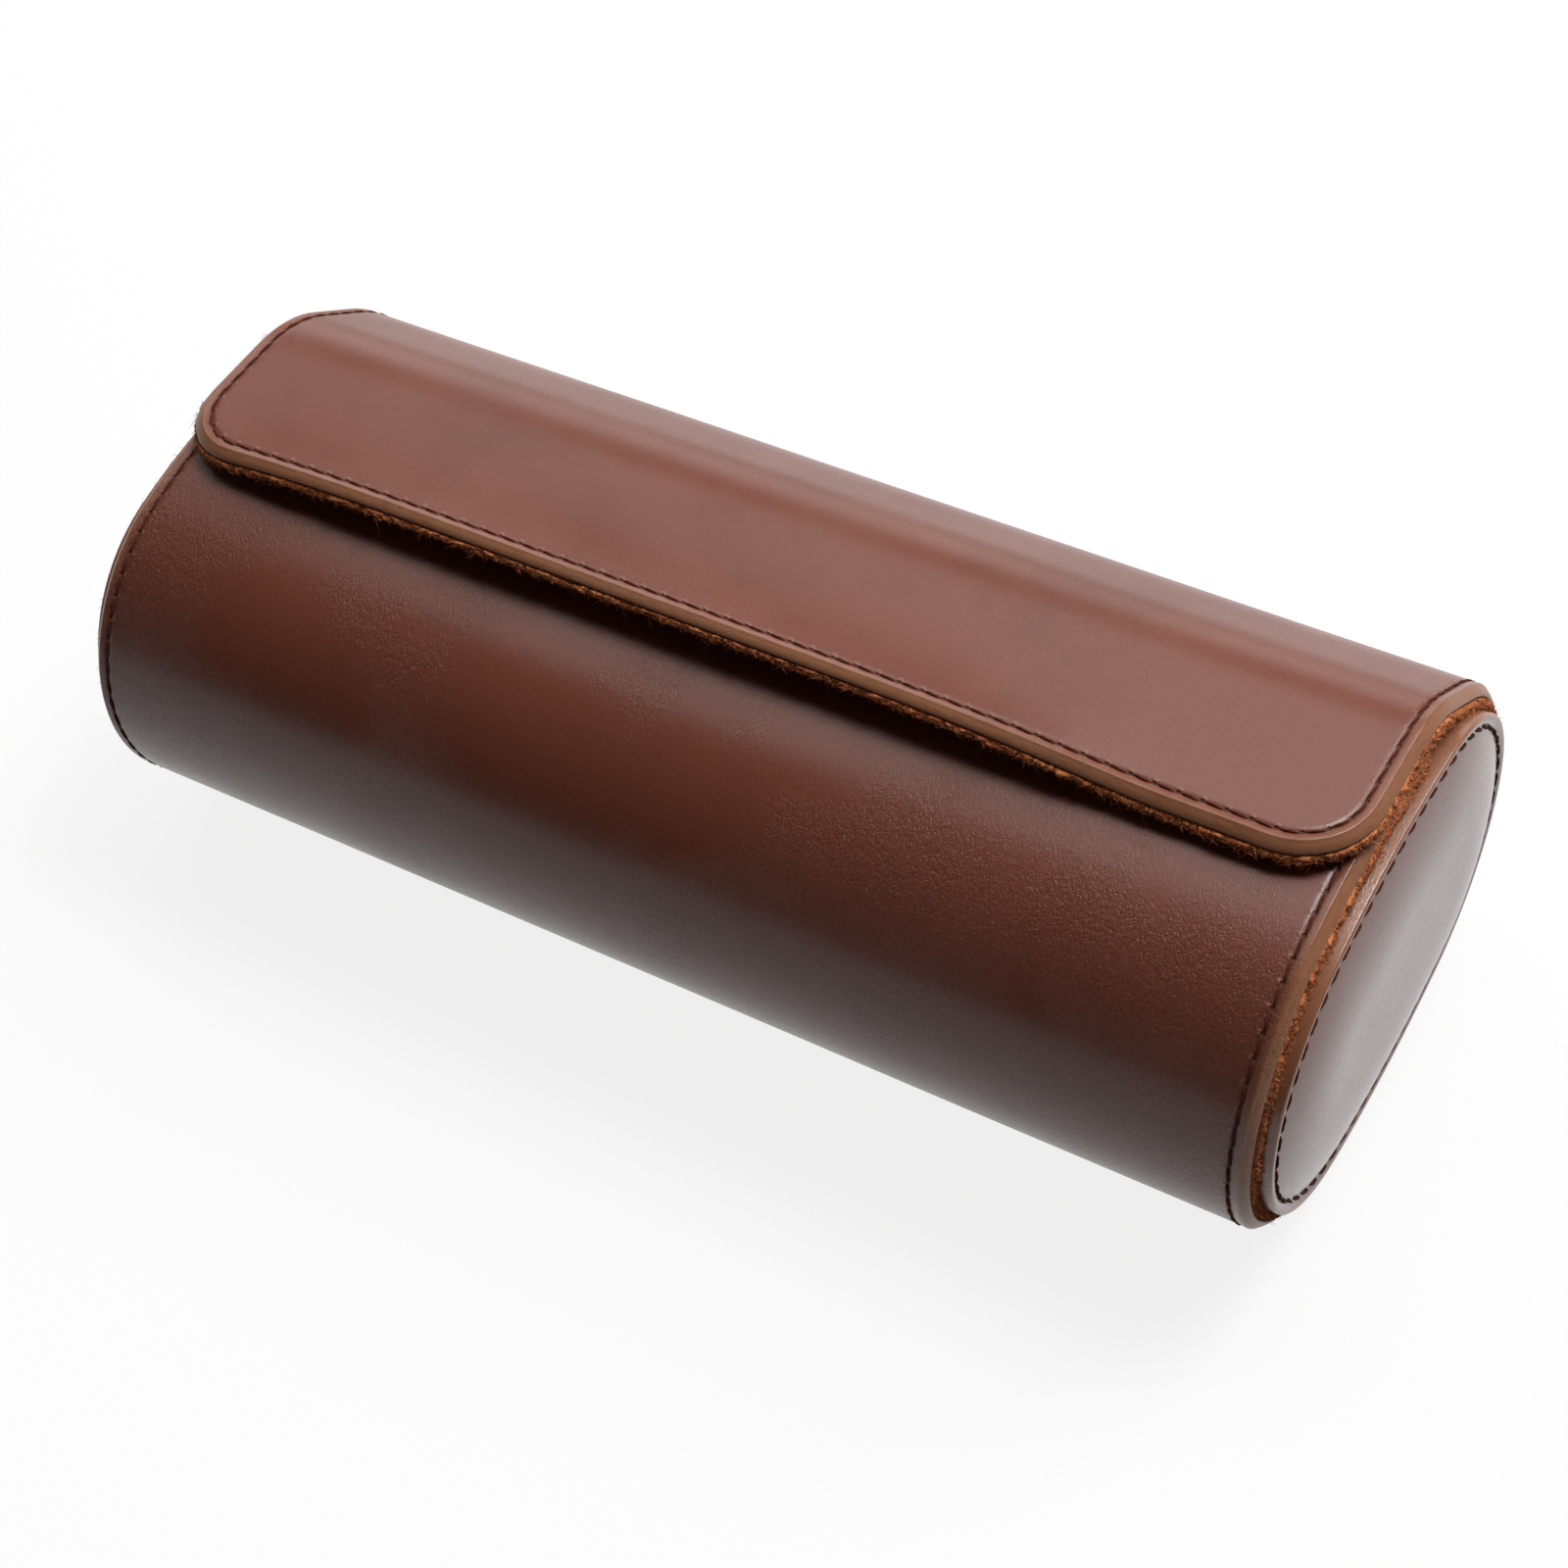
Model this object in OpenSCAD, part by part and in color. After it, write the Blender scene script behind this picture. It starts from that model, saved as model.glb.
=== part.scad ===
// Leather watch roll for three watches, closed.
// The roll lies along X, its front faces -Y and its foot stands on z = 0.
// A section of the roll is a four-centre oval: two small end arcs, two large crown arcs.

/* [Body] */
// Length of the wrap from edge to edge
wrap_l = 240; // [225:1:260]
// Width of the oval section, front to back
body_w = 106; // [102:1:112]
// Height of the oval section before the foot is pressed flat
body_h = 75.2; // [70:0.2:80]
// How much the crown arcs rise above the rounded front and back
crown_rise = 1.6; // [1:0.1:3]
// Depth of the flat that the roll stands on
foot_depth = 0.5; // [0.3:0.05:0.8]

/* [Sheets] */
// Thickness of the outer leather
leather_t = 2.2; // [1.6:0.1:2.4]
// Thickness of the suede lining
lining_t = 1.6; // [1.2:0.1:1.8]
// Thickness of the stiff board in the wrap
board_t = 1.2; // [0.8:0.1:1.6]
// Width of the sewn border that has no board in it
border_w = 13; // [12.5:0.5:16]
// Width of the strip beside each fold that has no board in it
hinge_band = 10; // [6:1:14]
// Thickness of the thin board in the flap
flap_board_t = 0.8; // [0.5:0.1:1]
// Small gap between a sewn-in piece and what it is seated in
seat_gap = 0.3; // [0.2:0.05:0.4]

/* [Flap] */
// Angle of the hinge line on the back shoulder, above level
hinge_angle = 35; // [30:1:40]
// Angle on the shoulder where the flap leaves the oval
leave_angle = 52; // [48:1:56]
// Outer radius of the bend between shoulder and flat of the flap
flap_bend_r = 26; // [22:1:30]
// Slope of the flat of the flap, rising towards its front edge
flap_rise = 2.5; // [1:0.5:3.5]
// Distance of the flap's front edge in front of the middle
flap_reach = 14.5; // [12:0.5:17]
// Least gap between the closed flap and the front panel
flap_gap = 0.4; // [0.35:0.05:0.7]
// Radius of the flap's front corners
flap_corner_r = 14.5; // [8:0.5:18]
// Distance of the front panel's upper edge behind the middle
lip_reach = 20.5; // [17:0.5:21]
// Radius of the front panel's upper corners
lip_corner_r = 4; // [3:0.5:12]
// Width of the fold line at each hinge
fold_gap = 0.3; // [0.2:0.05:0.5]

/* [End panels] */
// Thickness of the leather on the end panels
cover_t = 1.3; // [1:0.1:1.6]
// Thickness of the board in each end panel
end_board_t = 2; // [1.5:0.1:2.5]
// Thickness of the suede inside each end panel
end_lining_t = 1.2; // [0.8:0.1:1.5]
// Distance from the wrap's edge in to the suede of the end panel
end_depth = 6.8; // [6:0.2:8]
// Height of the rolled rim beyond the wrap's edge
rim_h = 2.7; // [2:0.1:3.5]
// Height of the padded crown beyond the wrap's edge
crown_h = 5; // [4:0.2:7]
// Depth of the groove that the end stitching pulls in
groove_h = 0.6; // [0.3:0.1:1]
// Width of the rolled rim, from the wrap's lining in to the groove
rim_w = 3.2; // [2.6:0.1:4]
// Distance from the groove in to where the padded crown is level
crown_run = 20; // [12:1:24]

/* [Dividers] */
// Thickness of a divider's board
divider_board_t = 1.6; // [1.2:0.1:2]
// Thickness of the suede on a divider
divider_suede_t = 1; // [0.6:0.1:1.2]
// Height of a divider's top edge above the middle of the section
divider_top = 14; // [8:0.5:18]

/* [Pillows] */
// Gap between a pillow and the divider or end panel beside it
pillow_side_gap = 3.5; // [1:0.5:5]
// Depth of a pillow, front to back
pillow_w = 56; // [50:1:60]
// Height of a pillow
pillow_h = 43; // [38:1:45]
// Thickness of a pillow's suede cover
pillow_cover_t = 1; // [0.6:0.1:1.4]
// Share of the section that is left at a pillow's end seams
pillow_end = 0.84; // [0.78:0.01:0.9]

/* [Snaps] */
// Distance of each snap from the end of the roll
snap_inset = 48; // [40:1:80]
// Place of the snaps, front (minus) to back (plus) of the middle
snap_y = -2; // [-4:0.5:2]
// Radius of the socket
socket_r = 6; // [5.5:0.1:7]
// Radius of the socket's mouth
socket_mouth_r = 4.2; // [3.9:0.1:4.6]
// Radius of the stud's head
stud_r = 2.5; // [2:0.1:2.8]
// Thickness of the socket's closed side
socket_roof = 0.4; // [0.3:0.05:0.5]
// Height of the stud's head above the front panel
stud_h = 1.2; // [1:0.05:1.3]
// Radius of the stud's base and of its rivet
stud_base_r = 5.2; // [4.5:0.1:6]
// Thickness of the stud's base and of its rivet
stud_base_t = 0.5; // [0.4:0.05:0.6]
// Radius of the rivet's post
post_r = 1.4; // [1:0.1:1.8]

/* [Hidden] */

leather = "saddlebrown";
suede = "peru";
greyboard = "darkgray";
foam = "lightyellow";
brass = "darkgoldenrod";

// Circles of the section are drawn with this many sides in the preview
section_fn = 180;
snap_fn = 48;
// Largest turn between two points of a bent sheet, in degrees
bend_step = 3;
// A length well past every edge of the roll
far = 3 * body_w;

// The oval: end arcs at (+-arc_y, 0), crown arcs at (0, -+crown_z)
half_h = body_h / 2;
shoulder_r = half_h - crown_rise;
arc_y = body_w / 2 - shoulder_r;
crown_r = (arc_y * arc_y + half_h * half_h - shoulder_r * shoulder_r) / (2 * (half_h - shoulder_r));
crown_z = crown_r - half_h;
join_a = atan2(crown_z, arc_y);
// The middle of the section stands this high above the foot
middle_z = half_h - foot_depth;

sheet_t = leather_t + lining_t;
wall_t = leather_t + board_t + lining_t;
fold_half_a = fold_gap / 2 / shoulder_r * 180 / PI;
fold_a = hinge_angle - fold_half_a;
board_end_a = hinge_angle - hinge_band / shoulder_r * 180 / PI;
board_step_a = board_end_a + lining_t / shoulder_r * 180 / PI;

// End panels
end_inset = sheet_t + seat_gap;
end_board_inset = end_inset + cover_t;
end_face_x = wrap_l / 2 - end_depth;
end_board_x = end_face_x + end_lining_t;
end_pad_x = end_board_x + end_board_t;
rim_x = wrap_l / 2 + rim_h;
groove_inset = end_inset + rim_w;
// Inner clearance of the board and the foam in the dished cover
pad_seat = 0.2;
// How far the rim's roll reaches in from its side and down from its top
rim_roll_w = 1.1;
rim_roll_h = 1.5;
brow_x = rim_x - rim_roll_h - cover_t;
// How fast the crown's skin levels out, and how its rings crowd towards the groove
crown_power = 2.6;
ring_power = 1.6;
outer_rings = 6;
inner_rings = 3;

// Dividers share the length between the end panels evenly
divider_t = divider_board_t + 2 * divider_suede_t;
cell_l = (2 * end_face_x - 2 * divider_t) / 3;
divider_x = cell_l / 2 + divider_t / 2;
cell_pitch = cell_l + divider_t;

// Flap: its outer line leaves the shoulder straight, bends once and runs flat to its front edge
shoulder_reach = arc_y * cos(leave_angle) + shoulder_r;
flat_reach = crown_r + flap_gap + sheet_t - crown_z * cos(flap_rise);
flat_a = 90 - flap_rise;
bend_centre = crossing(leave_angle, shoulder_reach - flap_bend_r, flat_a, flat_reach - flap_bend_r);

snap_x = wrap_l / 2 - snap_inset;

// Pillows fill their cells and rest on the lining
pillow_l = cell_l - 2 * pillow_side_gap;
pillow_z = -(half_h - wall_t) + seat_gap + pillow_h / 2;

// Rings of points round an oval or a pillow
oval_end_n = 14;
oval_crown_n = 6;
pillow_n = 24;

// Height of a pillow's domed ends, and the share of the end that stays flat
pillow_dome = 2.6;
dome_flat = 0.35;
// How square a pillow's section is, 1 being an ellipse, and how late it tapers along its length
pillow_power = 0.8;
pillow_taper = 3;
core_gap = 0.1;
// Places of the rings along a pillow's cover and its core, as shares of half the length
cover_stations = [-1, -0.86, -0.6, -0.25, 0.25, 0.6, 0.86, 1];
core_stations = [-1, -0.6, 0.6, 1];

// Snaps: clearance round a riveted piece, and how far its flange stays below the face
rivet_fit = 0.05;
flush_gap = 0.02;
cut_over = 1;

// Where two lines meet, each given by its normal's angle and its distance from the origin
function crossing(a1, h1, a2, h2) =
    let (det = cos(a1) * sin(a2) - sin(a1) * cos(a2))
    [(h1 * sin(a2) - h2 * sin(a1)) / det, (h2 * cos(a1) - h1 * cos(a2)) / det];

// Points along an arc, both ends included
function arc(centre, r, a0, a1, n) =
    [for (i = [0:n]) let (a = a0 + (a1 - a0) * i / n) centre + r * [cos(a), sin(a)]];

function steps(a0, a1) = ceil(abs(a1 - a0) / bend_step);

function reversed(list) = [for (i = [len(list) - 1:-1:0]) list[i]];

// Line of the flap's sheet at a depth below its outer face, from hinge to front edge
function flap_line(depth) = concat(
    arc([arc_y, 0], shoulder_r - depth, hinge_angle + fold_half_a, leave_angle, steps(hinge_angle, leave_angle)),
    arc(bend_centre, flap_bend_r - depth, leave_angle, flat_a, steps(leave_angle, flat_a)),
    [[-flap_reach, (flat_reach - depth + flap_reach * cos(flat_a)) / sin(flat_a)]]
);

// Points round the oval at an inset, as many on each pass so that rings can be joined
function oval_ring(inset, x) =
    let (er = shoulder_r - inset, cr = crown_r - inset, m = oval_crown_n)
    [for (p = concat(
        arc([arc_y, 0], er, -join_a, join_a, oval_end_n),
        [for (i = [1:m - 1]) let (a = join_a + (180 - 2 * join_a) * i / m) [0, -crown_z] + cr * [cos(a), sin(a)]],
        arc([-arc_y, 0], er, 180 - join_a, 180 + join_a, oval_end_n),
        [for (i = [1:m - 1]) let (a = 180 + join_a + (180 - 2 * join_a) * i / m) [0, crown_z] + cr * [cos(a), sin(a)]]
    )) [x, p[0], p[1]]];

// Place of the padded crown's skin: rises from the groove, level in the middle
function crown_x(inset) =
    let (t = min(1, (inset - groove_inset) / crown_run))
    rim_x - groove_h + (crown_h - rim_h + groove_h) * (1 - pow(1 - t, crown_power));

// Rings of a cover's outer face, each [inset, x], from the skirt's edge over the rolled rim
rim_rings = [
    [end_inset, end_board_x],
    for (a = [0, 45, 90]) [end_inset + rim_roll_w * (1 - cos(a)), rim_x - rim_roll_h * (1 - sin(a))]
];

// Rings of the crown from the groove inwards, from ring number first to n
function crown_rings(depth, first, n) = [
    for (i = [first:n]) let (inset = groove_inset + crown_run * pow(i / n, ring_power))
    [inset, crown_x(inset) - depth]
];

// A closed skin through rings of points, its two ends closed by fans of flat faces
module skin(rings) {
    n = len(rings[0]);
    m = len(rings);
    polyhedron(
        points = [for (ring = rings) each ring],
        faces = concat(
            [[for (j = [0:n - 1]) j]],
            [[for (j = [n - 1:-1:0]) (m - 1) * n + j]],
            [for (i = [0:m - 2]) for (j = [0:n - 1]) each [
                [i * n + j, (i + 1) * n + (j + 1) % n, i * n + (j + 1) % n],
                [i * n + j, (i + 1) * n + j, (i + 1) * n + (j + 1) % n]
            ]]
        )
    );
}

// The filled oval at an inset from the outer face
module oval(inset) {
    for (side = [1, -1]) {
        translate([side * arc_y, 0]) circle(r = shoulder_r - inset, $fn = section_fn);
        intersection() {
            translate([0, -side * crown_z]) circle(r = crown_r - inset, $fn = 2 * section_fn);
            polygon([
                [arc_y, 0],
                [arc_y, 0] + far * [cos(join_a), side * sin(join_a)],
                [-arc_y, 0] + far * [-cos(join_a), side * sin(join_a)],
                [-arc_y, 0]
            ]);
        }
    }
}

// Extrudes a section, drawn as (y, z) about the middle of the oval, from x0 to x1
module along(x0, x1) {
    translate([x0, 0, middle_z]) rotate([90, 0, 90]) linear_extrude(x1 - x0) children();
}

// A sheet of the wrap between two depths, all the way round
module oval_sheet(depth, t, x0, x1) {
    along(x0, x1) difference() {
        oval(depth);
        oval(depth + t);
    }
}

// The open top of the wrap, above an angle on both shoulders
module mouth(a) {
    along(-wrap_l, wrap_l) polygon([
        [-arc_y, 0],
        [-arc_y, 0] + far * [-cos(a), sin(a)],
        [arc_y, 0] + far * [cos(a), sin(a)],
        [arc_y, 0]
    ]);
}

// The stretch of the section that the front panel keeps
module front_stretch(x0, x1) {
    a = hinge_angle + fold_half_a;
    along(x0, x1) polygon([
        [-arc_y, 0],
        [-arc_y, 0] + far * [-cos(a), sin(a)],
        [lip_reach, far],
        [lip_reach, 0]
    ]);
}

// What is cut off a sheet's two corners: x_edge and y_edge are its edges, side points out along Y
module corner_cuts(x_edge, y_edge, side, r) {
    for (end = [1, -1]) difference() {
        translate([end * (x_edge - r) - (end < 0 ? 2 * r : 0), y_edge - side * r - (side < 0 ? 2 * r : 0), 0])
            cube([2 * r, 2 * r, far]);
        translate([end * (x_edge - r), y_edge - side * r, -1]) cylinder(r = r, h = far + 2, $fn = section_fn);
    }
}

// Stands on the flap's flat at the snaps, z pointing out of the leather
module at_flap_snap(side, depth) {
    z = (flat_reach - depth - snap_y * cos(flat_a)) / sin(flat_a);
    translate([side * snap_x, snap_y, middle_z + z]) rotate([-flap_rise, 0, 0]) children();
}

// Stands on the front panel at the snaps, z pointing out of the leather
module at_panel_snap(side, depth) {
    a = asin(snap_y / crown_r);
    translate([side * snap_x, 0, middle_z - crown_z])
        rotate([-a, 0, 0])
            translate([0, 0, crown_r - depth]) children();
}

module wrap_leather() {
    color(leather) difference() {
        oval_sheet(0, leather_t, -wrap_l / 2, wrap_l / 2);
        mouth(fold_a);
        translate([-wrap_l, -far, -far]) cube([2 * wrap_l, 2 * far, far]);
    }
}

module wrap_board() {
    x = wrap_l / 2 - border_w;
    color(greyboard) difference() {
        oval_sheet(leather_t, board_t, -x, x);
        mouth(board_end_a);
    }
}

// The lining lies on the leather along its borders and folds, and on the board between them
module wrap_lining() {
    x = wrap_l / 2 - border_w + lining_t;
    color(suede) difference() {
        union() {
            difference() {
                oval_sheet(leather_t, lining_t, -wrap_l / 2, wrap_l / 2);
                mouth(fold_a);
            }
            difference() {
                oval_sheet(leather_t, board_t + lining_t, -x, x);
                mouth(board_step_a);
            }
        }
        wrap_board();
    }
}

// A cover is a shallow dish: inner face from middle to skirt, then outer face back to the middle
module end_cover(side) {
    inner = concat(
        reversed(crown_rings(cover_t, 1, inner_rings)),
        [[end_board_inset, brow_x], [end_board_inset, end_board_x]]
    );
    outer = concat(rim_rings, crown_rings(0, 0, outer_rings));
    color(leather) translate([0, 0, middle_z]) mirror([side < 0 ? 1 : 0, 0, 0])
        skin([for (p = concat(inner, outer)) oval_ring(p[0], p[1])]);
}

module end_pad(side) {
    base = [[end_board_inset + pad_seat, end_pad_x]];
    brow = [[end_board_inset + pad_seat, brow_x - pad_seat]];
    top = crown_rings(cover_t + pad_seat, 1, inner_rings);
    color(foam) translate([0, 0, middle_z]) mirror([side < 0 ? 1 : 0, 0, 0])
        skin([for (p = concat(base, brow, top)) oval_ring(p[0], p[1])]);
}

module end_board(side) {
    color(greyboard) mirror([side < 0 ? 1 : 0, 0, 0]) along(end_board_x, end_pad_x)
        oval(end_board_inset + pad_seat);
}

module end_lining(side) {
    color(suede) mirror([side < 0 ? 1 : 0, 0, 0]) along(end_face_x, end_board_x) oval(end_inset);
}

// Outline of a divider, its top edge cut level
module divider_outline(top) {
    difference() {
        oval(wall_t + seat_gap);
        translate([-far, top]) square([2 * far, far]);
    }
}

module divider_board(side) {
    x = side * divider_x;
    color(greyboard) along(x - divider_board_t / 2, x + divider_board_t / 2)
        divider_outline(divider_top - divider_suede_t);
}

module divider_suede(side) {
    x = side * divider_x;
    color(suede) difference() {
        along(x - divider_t / 2, x + divider_t / 2) divider_outline(divider_top);
        divider_board(side);
    }
}

module front_panel(depth, t) {
    difference() {
        intersection() {
            oval_sheet(depth, t, -wrap_l / 2, wrap_l / 2);
            front_stretch(-wrap_l, wrap_l);
        }
        corner_cuts(wrap_l / 2, lip_reach, 1, lip_corner_r);
        for (side = [1, -1]) {
            at_panel_snap(side, sheet_t + cut_over)
                cylinder(r = post_r + rivet_fit, h = sheet_t + 2 * cut_over, $fn = snap_fn);
            for (depth = [stud_base_t, sheet_t + cut_over])
                at_panel_snap(side, depth)
                    cylinder(r = stud_base_r + rivet_fit, h = stud_base_t + cut_over, $fn = snap_fn);
        }
    }
}

module front_panel_leather() { color(leather) front_panel(0, leather_t); }

module front_panel_lining() { color(suede) front_panel(leather_t, lining_t); }

// Base and head outside, rivet inside, post through both sheets
module snap_stud(side) {
    color(brass) {
        for (depth = [stud_base_t, sheet_t - flush_gap])
            at_panel_snap(side, depth) cylinder(r = stud_base_r, h = stud_base_t - flush_gap, $fn = snap_fn);
        at_panel_snap(side, stud_base_t / 2) cylinder(r = stud_r, h = stud_h + stud_base_t / 2, $fn = snap_fn);
        at_panel_snap(side, sheet_t - stud_base_t / 2)
            cylinder(r = post_r, h = sheet_t - stud_base_t, $fn = snap_fn);
    }
}

// A sheet of the flap between two depths
module flap_sheet(depth, t, inset_x, inset_y) {
    x = wrap_l / 2 - inset_x;
    difference() {
        along(-x, x) polygon(concat(flap_line(depth), reversed(flap_line(depth + t))));
        corner_cuts(x, -flap_reach + inset_y, -1, flap_corner_r - inset_y);
        if (inset_y > 0)
            translate([-wrap_l, -flap_reach + inset_y - far, 0]) cube([2 * wrap_l, far, far]);
    }
}

module flap_leather() { color(leather) flap_sheet(0, leather_t, 0, 0); }

// The board lies in the flat of the flap only, in front of the bend
module flap_board_blank() {
    intersection() {
        flap_sheet(leather_t, flap_board_t, border_w, flap_corner_r / 2);
        translate([-wrap_l, -far, 0]) cube([2 * wrap_l, far + bend_centre[0], far]);
    }
}

module flap_board() {
    color(greyboard) difference() {
        flap_board_blank();
        for (side = [1, -1])
            at_flap_snap(side, sheet_t + cut_over)
                cylinder(r = socket_r + seat_gap, h = sheet_t, $fn = snap_fn);
    }
}

module flap_lining() {
    color(suede) difference() {
        flap_sheet(leather_t, lining_t, 0, 0);
        flap_board_blank();
        for (side = [1, -1])
            at_flap_snap(side, sheet_t + cut_over)
                cylinder(r = socket_r + rivet_fit, h = lining_t + 2 * cut_over, $fn = snap_fn);
    }
}

// The socket fills the lining's thickness, its mouth open towards the stud
module snap_socket(side) {
    color(brass) difference() {
        at_flap_snap(side, sheet_t) cylinder(r = socket_r, h = lining_t - flush_gap, $fn = snap_fn);
        at_flap_snap(side, sheet_t + cut_over)
            cylinder(r = socket_mouth_r, h = lining_t + cut_over - socket_roof, $fn = snap_fn);
    }
}

// Section of a pillow at a share of its full size, as an even rounded oblong, drawn in at mid side
function pillow_ring(share, x, trim) = [
    for (i = [0:pillow_n - 1]) let (
        a = 360 * i / pillow_n,
        u = sign(cos(a)) * pow(abs(cos(a)), pillow_power),
        v = sign(sin(a)) * pow(abs(sin(a)), pillow_power)
    ) [x, (pillow_w / 2 * share - trim) * u, (pillow_h / 2 * share - trim) * v]
];

// Rings along a pillow: a crown in the middle, end seams drawn in, ends slightly domed
function pillow_rings(trim, stations) =
    let (half = pillow_l / 2 - pillow_dome - trim)
    concat(
        [for (k = [-1, -0.5]) [-half + k * pillow_dome, dome_share(k)]],
        [for (t = stations) [half * t, 1 - (1 - pillow_end) * pow(abs(t), pillow_taper)]],
        [for (k = [0.5, 1]) [half + k * pillow_dome, dome_share(k)]]
    );

function dome_share(k) = pillow_end * (1 - (1 - dome_flat) * k * k);

module pillow_form(trim, stations) {
    skin([for (p = pillow_rings(trim, stations)) pillow_ring(p[1], p[0], trim)]);
}

module pillow_core(cell) {
    color(foam) translate([cell * cell_pitch, 0, middle_z + pillow_z])
        pillow_form(pillow_cover_t + core_gap, core_stations);
}

module pillow_cover(cell) {
    color(suede) translate([cell * cell_pitch, 0, middle_z + pillow_z]) difference() {
        pillow_form(0, cover_stations);
        pillow_form(pillow_cover_t, core_stations);
    }
}

wrap_leather();
wrap_board();
wrap_lining();
end_cover(-1);  // end_cover_left
end_cover(1);  // end_cover_right
end_pad(-1);  // end_pad_left
end_pad(1);  // end_pad_right
end_board(-1);  // end_board_left
end_board(1);  // end_board_right
end_lining(-1);  // end_lining_left
end_lining(1);  // end_lining_right
divider_board(-1);  // divider_board_left
divider_board(1);  // divider_board_right
divider_suede(-1);  // divider_suede_left
divider_suede(1);  // divider_suede_right
front_panel_leather();
front_panel_lining();
snap_stud(-1);  // snap_stud_left
snap_stud(1);  // snap_stud_right
flap_leather();
flap_lining();
flap_board();
snap_socket(-1);  // snap_socket_left
snap_socket(1);  // snap_socket_right
pillow_cover(-1);  // pillow_cover_left
pillow_cover(0);  // pillow_cover_centre
pillow_cover(1);  // pillow_cover_right
pillow_core(-1);  // pillow_core_left
pillow_core(0);  // pillow_core_centre
pillow_core(1);  // pillow_core_right
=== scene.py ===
"""Leather watch roll: leather, suede, thread, pillows and snaps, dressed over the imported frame."""

import math
from collections import namedtuple

import bmesh
import bpy
import numpy as np
from mathutils import Matrix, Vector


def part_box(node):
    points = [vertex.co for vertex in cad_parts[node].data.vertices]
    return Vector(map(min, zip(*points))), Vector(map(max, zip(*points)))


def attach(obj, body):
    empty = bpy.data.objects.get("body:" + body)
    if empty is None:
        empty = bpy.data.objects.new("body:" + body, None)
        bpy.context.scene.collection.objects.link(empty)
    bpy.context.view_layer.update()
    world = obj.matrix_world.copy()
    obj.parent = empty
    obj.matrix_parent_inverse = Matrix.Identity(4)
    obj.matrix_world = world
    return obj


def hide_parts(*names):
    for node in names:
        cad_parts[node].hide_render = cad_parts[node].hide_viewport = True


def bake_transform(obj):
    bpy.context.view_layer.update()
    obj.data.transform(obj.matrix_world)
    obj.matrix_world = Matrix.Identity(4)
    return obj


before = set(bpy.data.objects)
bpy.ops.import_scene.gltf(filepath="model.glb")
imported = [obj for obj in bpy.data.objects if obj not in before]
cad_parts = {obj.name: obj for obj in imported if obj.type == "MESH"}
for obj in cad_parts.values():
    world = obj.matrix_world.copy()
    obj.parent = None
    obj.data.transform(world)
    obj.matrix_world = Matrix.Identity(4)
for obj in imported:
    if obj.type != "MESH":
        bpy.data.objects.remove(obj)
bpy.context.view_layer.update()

bl_info = {
    "name": "Leather watch roll",
    "version": (1, 0, 0),
    "blender": (4, 5, 0),
    "location": "3D View > Sidebar > Watch Roll",
    "description": "Builds the leather, suede, thread, pillows and snaps of a watch roll around its frame",
    "category": "Object",
}

MM = 0.001
WRAP_LOW, WRAP_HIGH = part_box("wrap_leather")
FLAP_LOW, FLAP_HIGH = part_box("flap_leather")
PANEL_LOW, PANEL_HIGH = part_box("front_panel_leather")
PILLOW_LOW, PILLOW_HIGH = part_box("pillow_cover_centre")
DIVIDER_LOW, DIVIDER_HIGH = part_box("divider_suede_right")
SIDES = {"left": -1, "right": 1}
LAMP_TARGET = (0.0, 0.0, 0.05)
LAMPS = {  # place, width, depth and watts of each soft panel
    "back_wall": ((-0.9, 1.5, 0.34), 2.2, 0.6, 6.3),
    "back_sky": ((-0.35, 0.75, 1.35), 1.6, 1.1, 12.0),
    "back_key": ((0.75, 1.25, 1.05), 0.8, 0.6, 10.0),
    "top_key": ((0.4, 0.5, 1.3), 0.5, 0.5, 11.5),
}
PILLOW_SEAM = 0.9  # share of the way from a pillow's middle to its end at which its seam lies


def length(name, default, description):
    """A length in metres for a property group."""
    return bpy.props.FloatProperty(
        name=name, description=description, default=default, min=0.0, precision=5, unit="LENGTH"
    )


def angle(name, default, description):
    """An angle, given in degrees, for a property group."""
    return bpy.props.FloatProperty(
        name=name, description=description, default=math.radians(default), subtype="ANGLE", unit="ROTATION"
    )


def factor(name, default, description):
    """A plain number for a property group."""
    return bpy.props.FloatProperty(name=name, description=description, default=default, precision=3)


def colour(name, default, description):
    """A linear colour for a property group."""
    return bpy.props.FloatVectorProperty(
        name=name, description=description, default=default, size=3, min=0.0, max=1.0, subtype="COLOR"
    )


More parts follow.
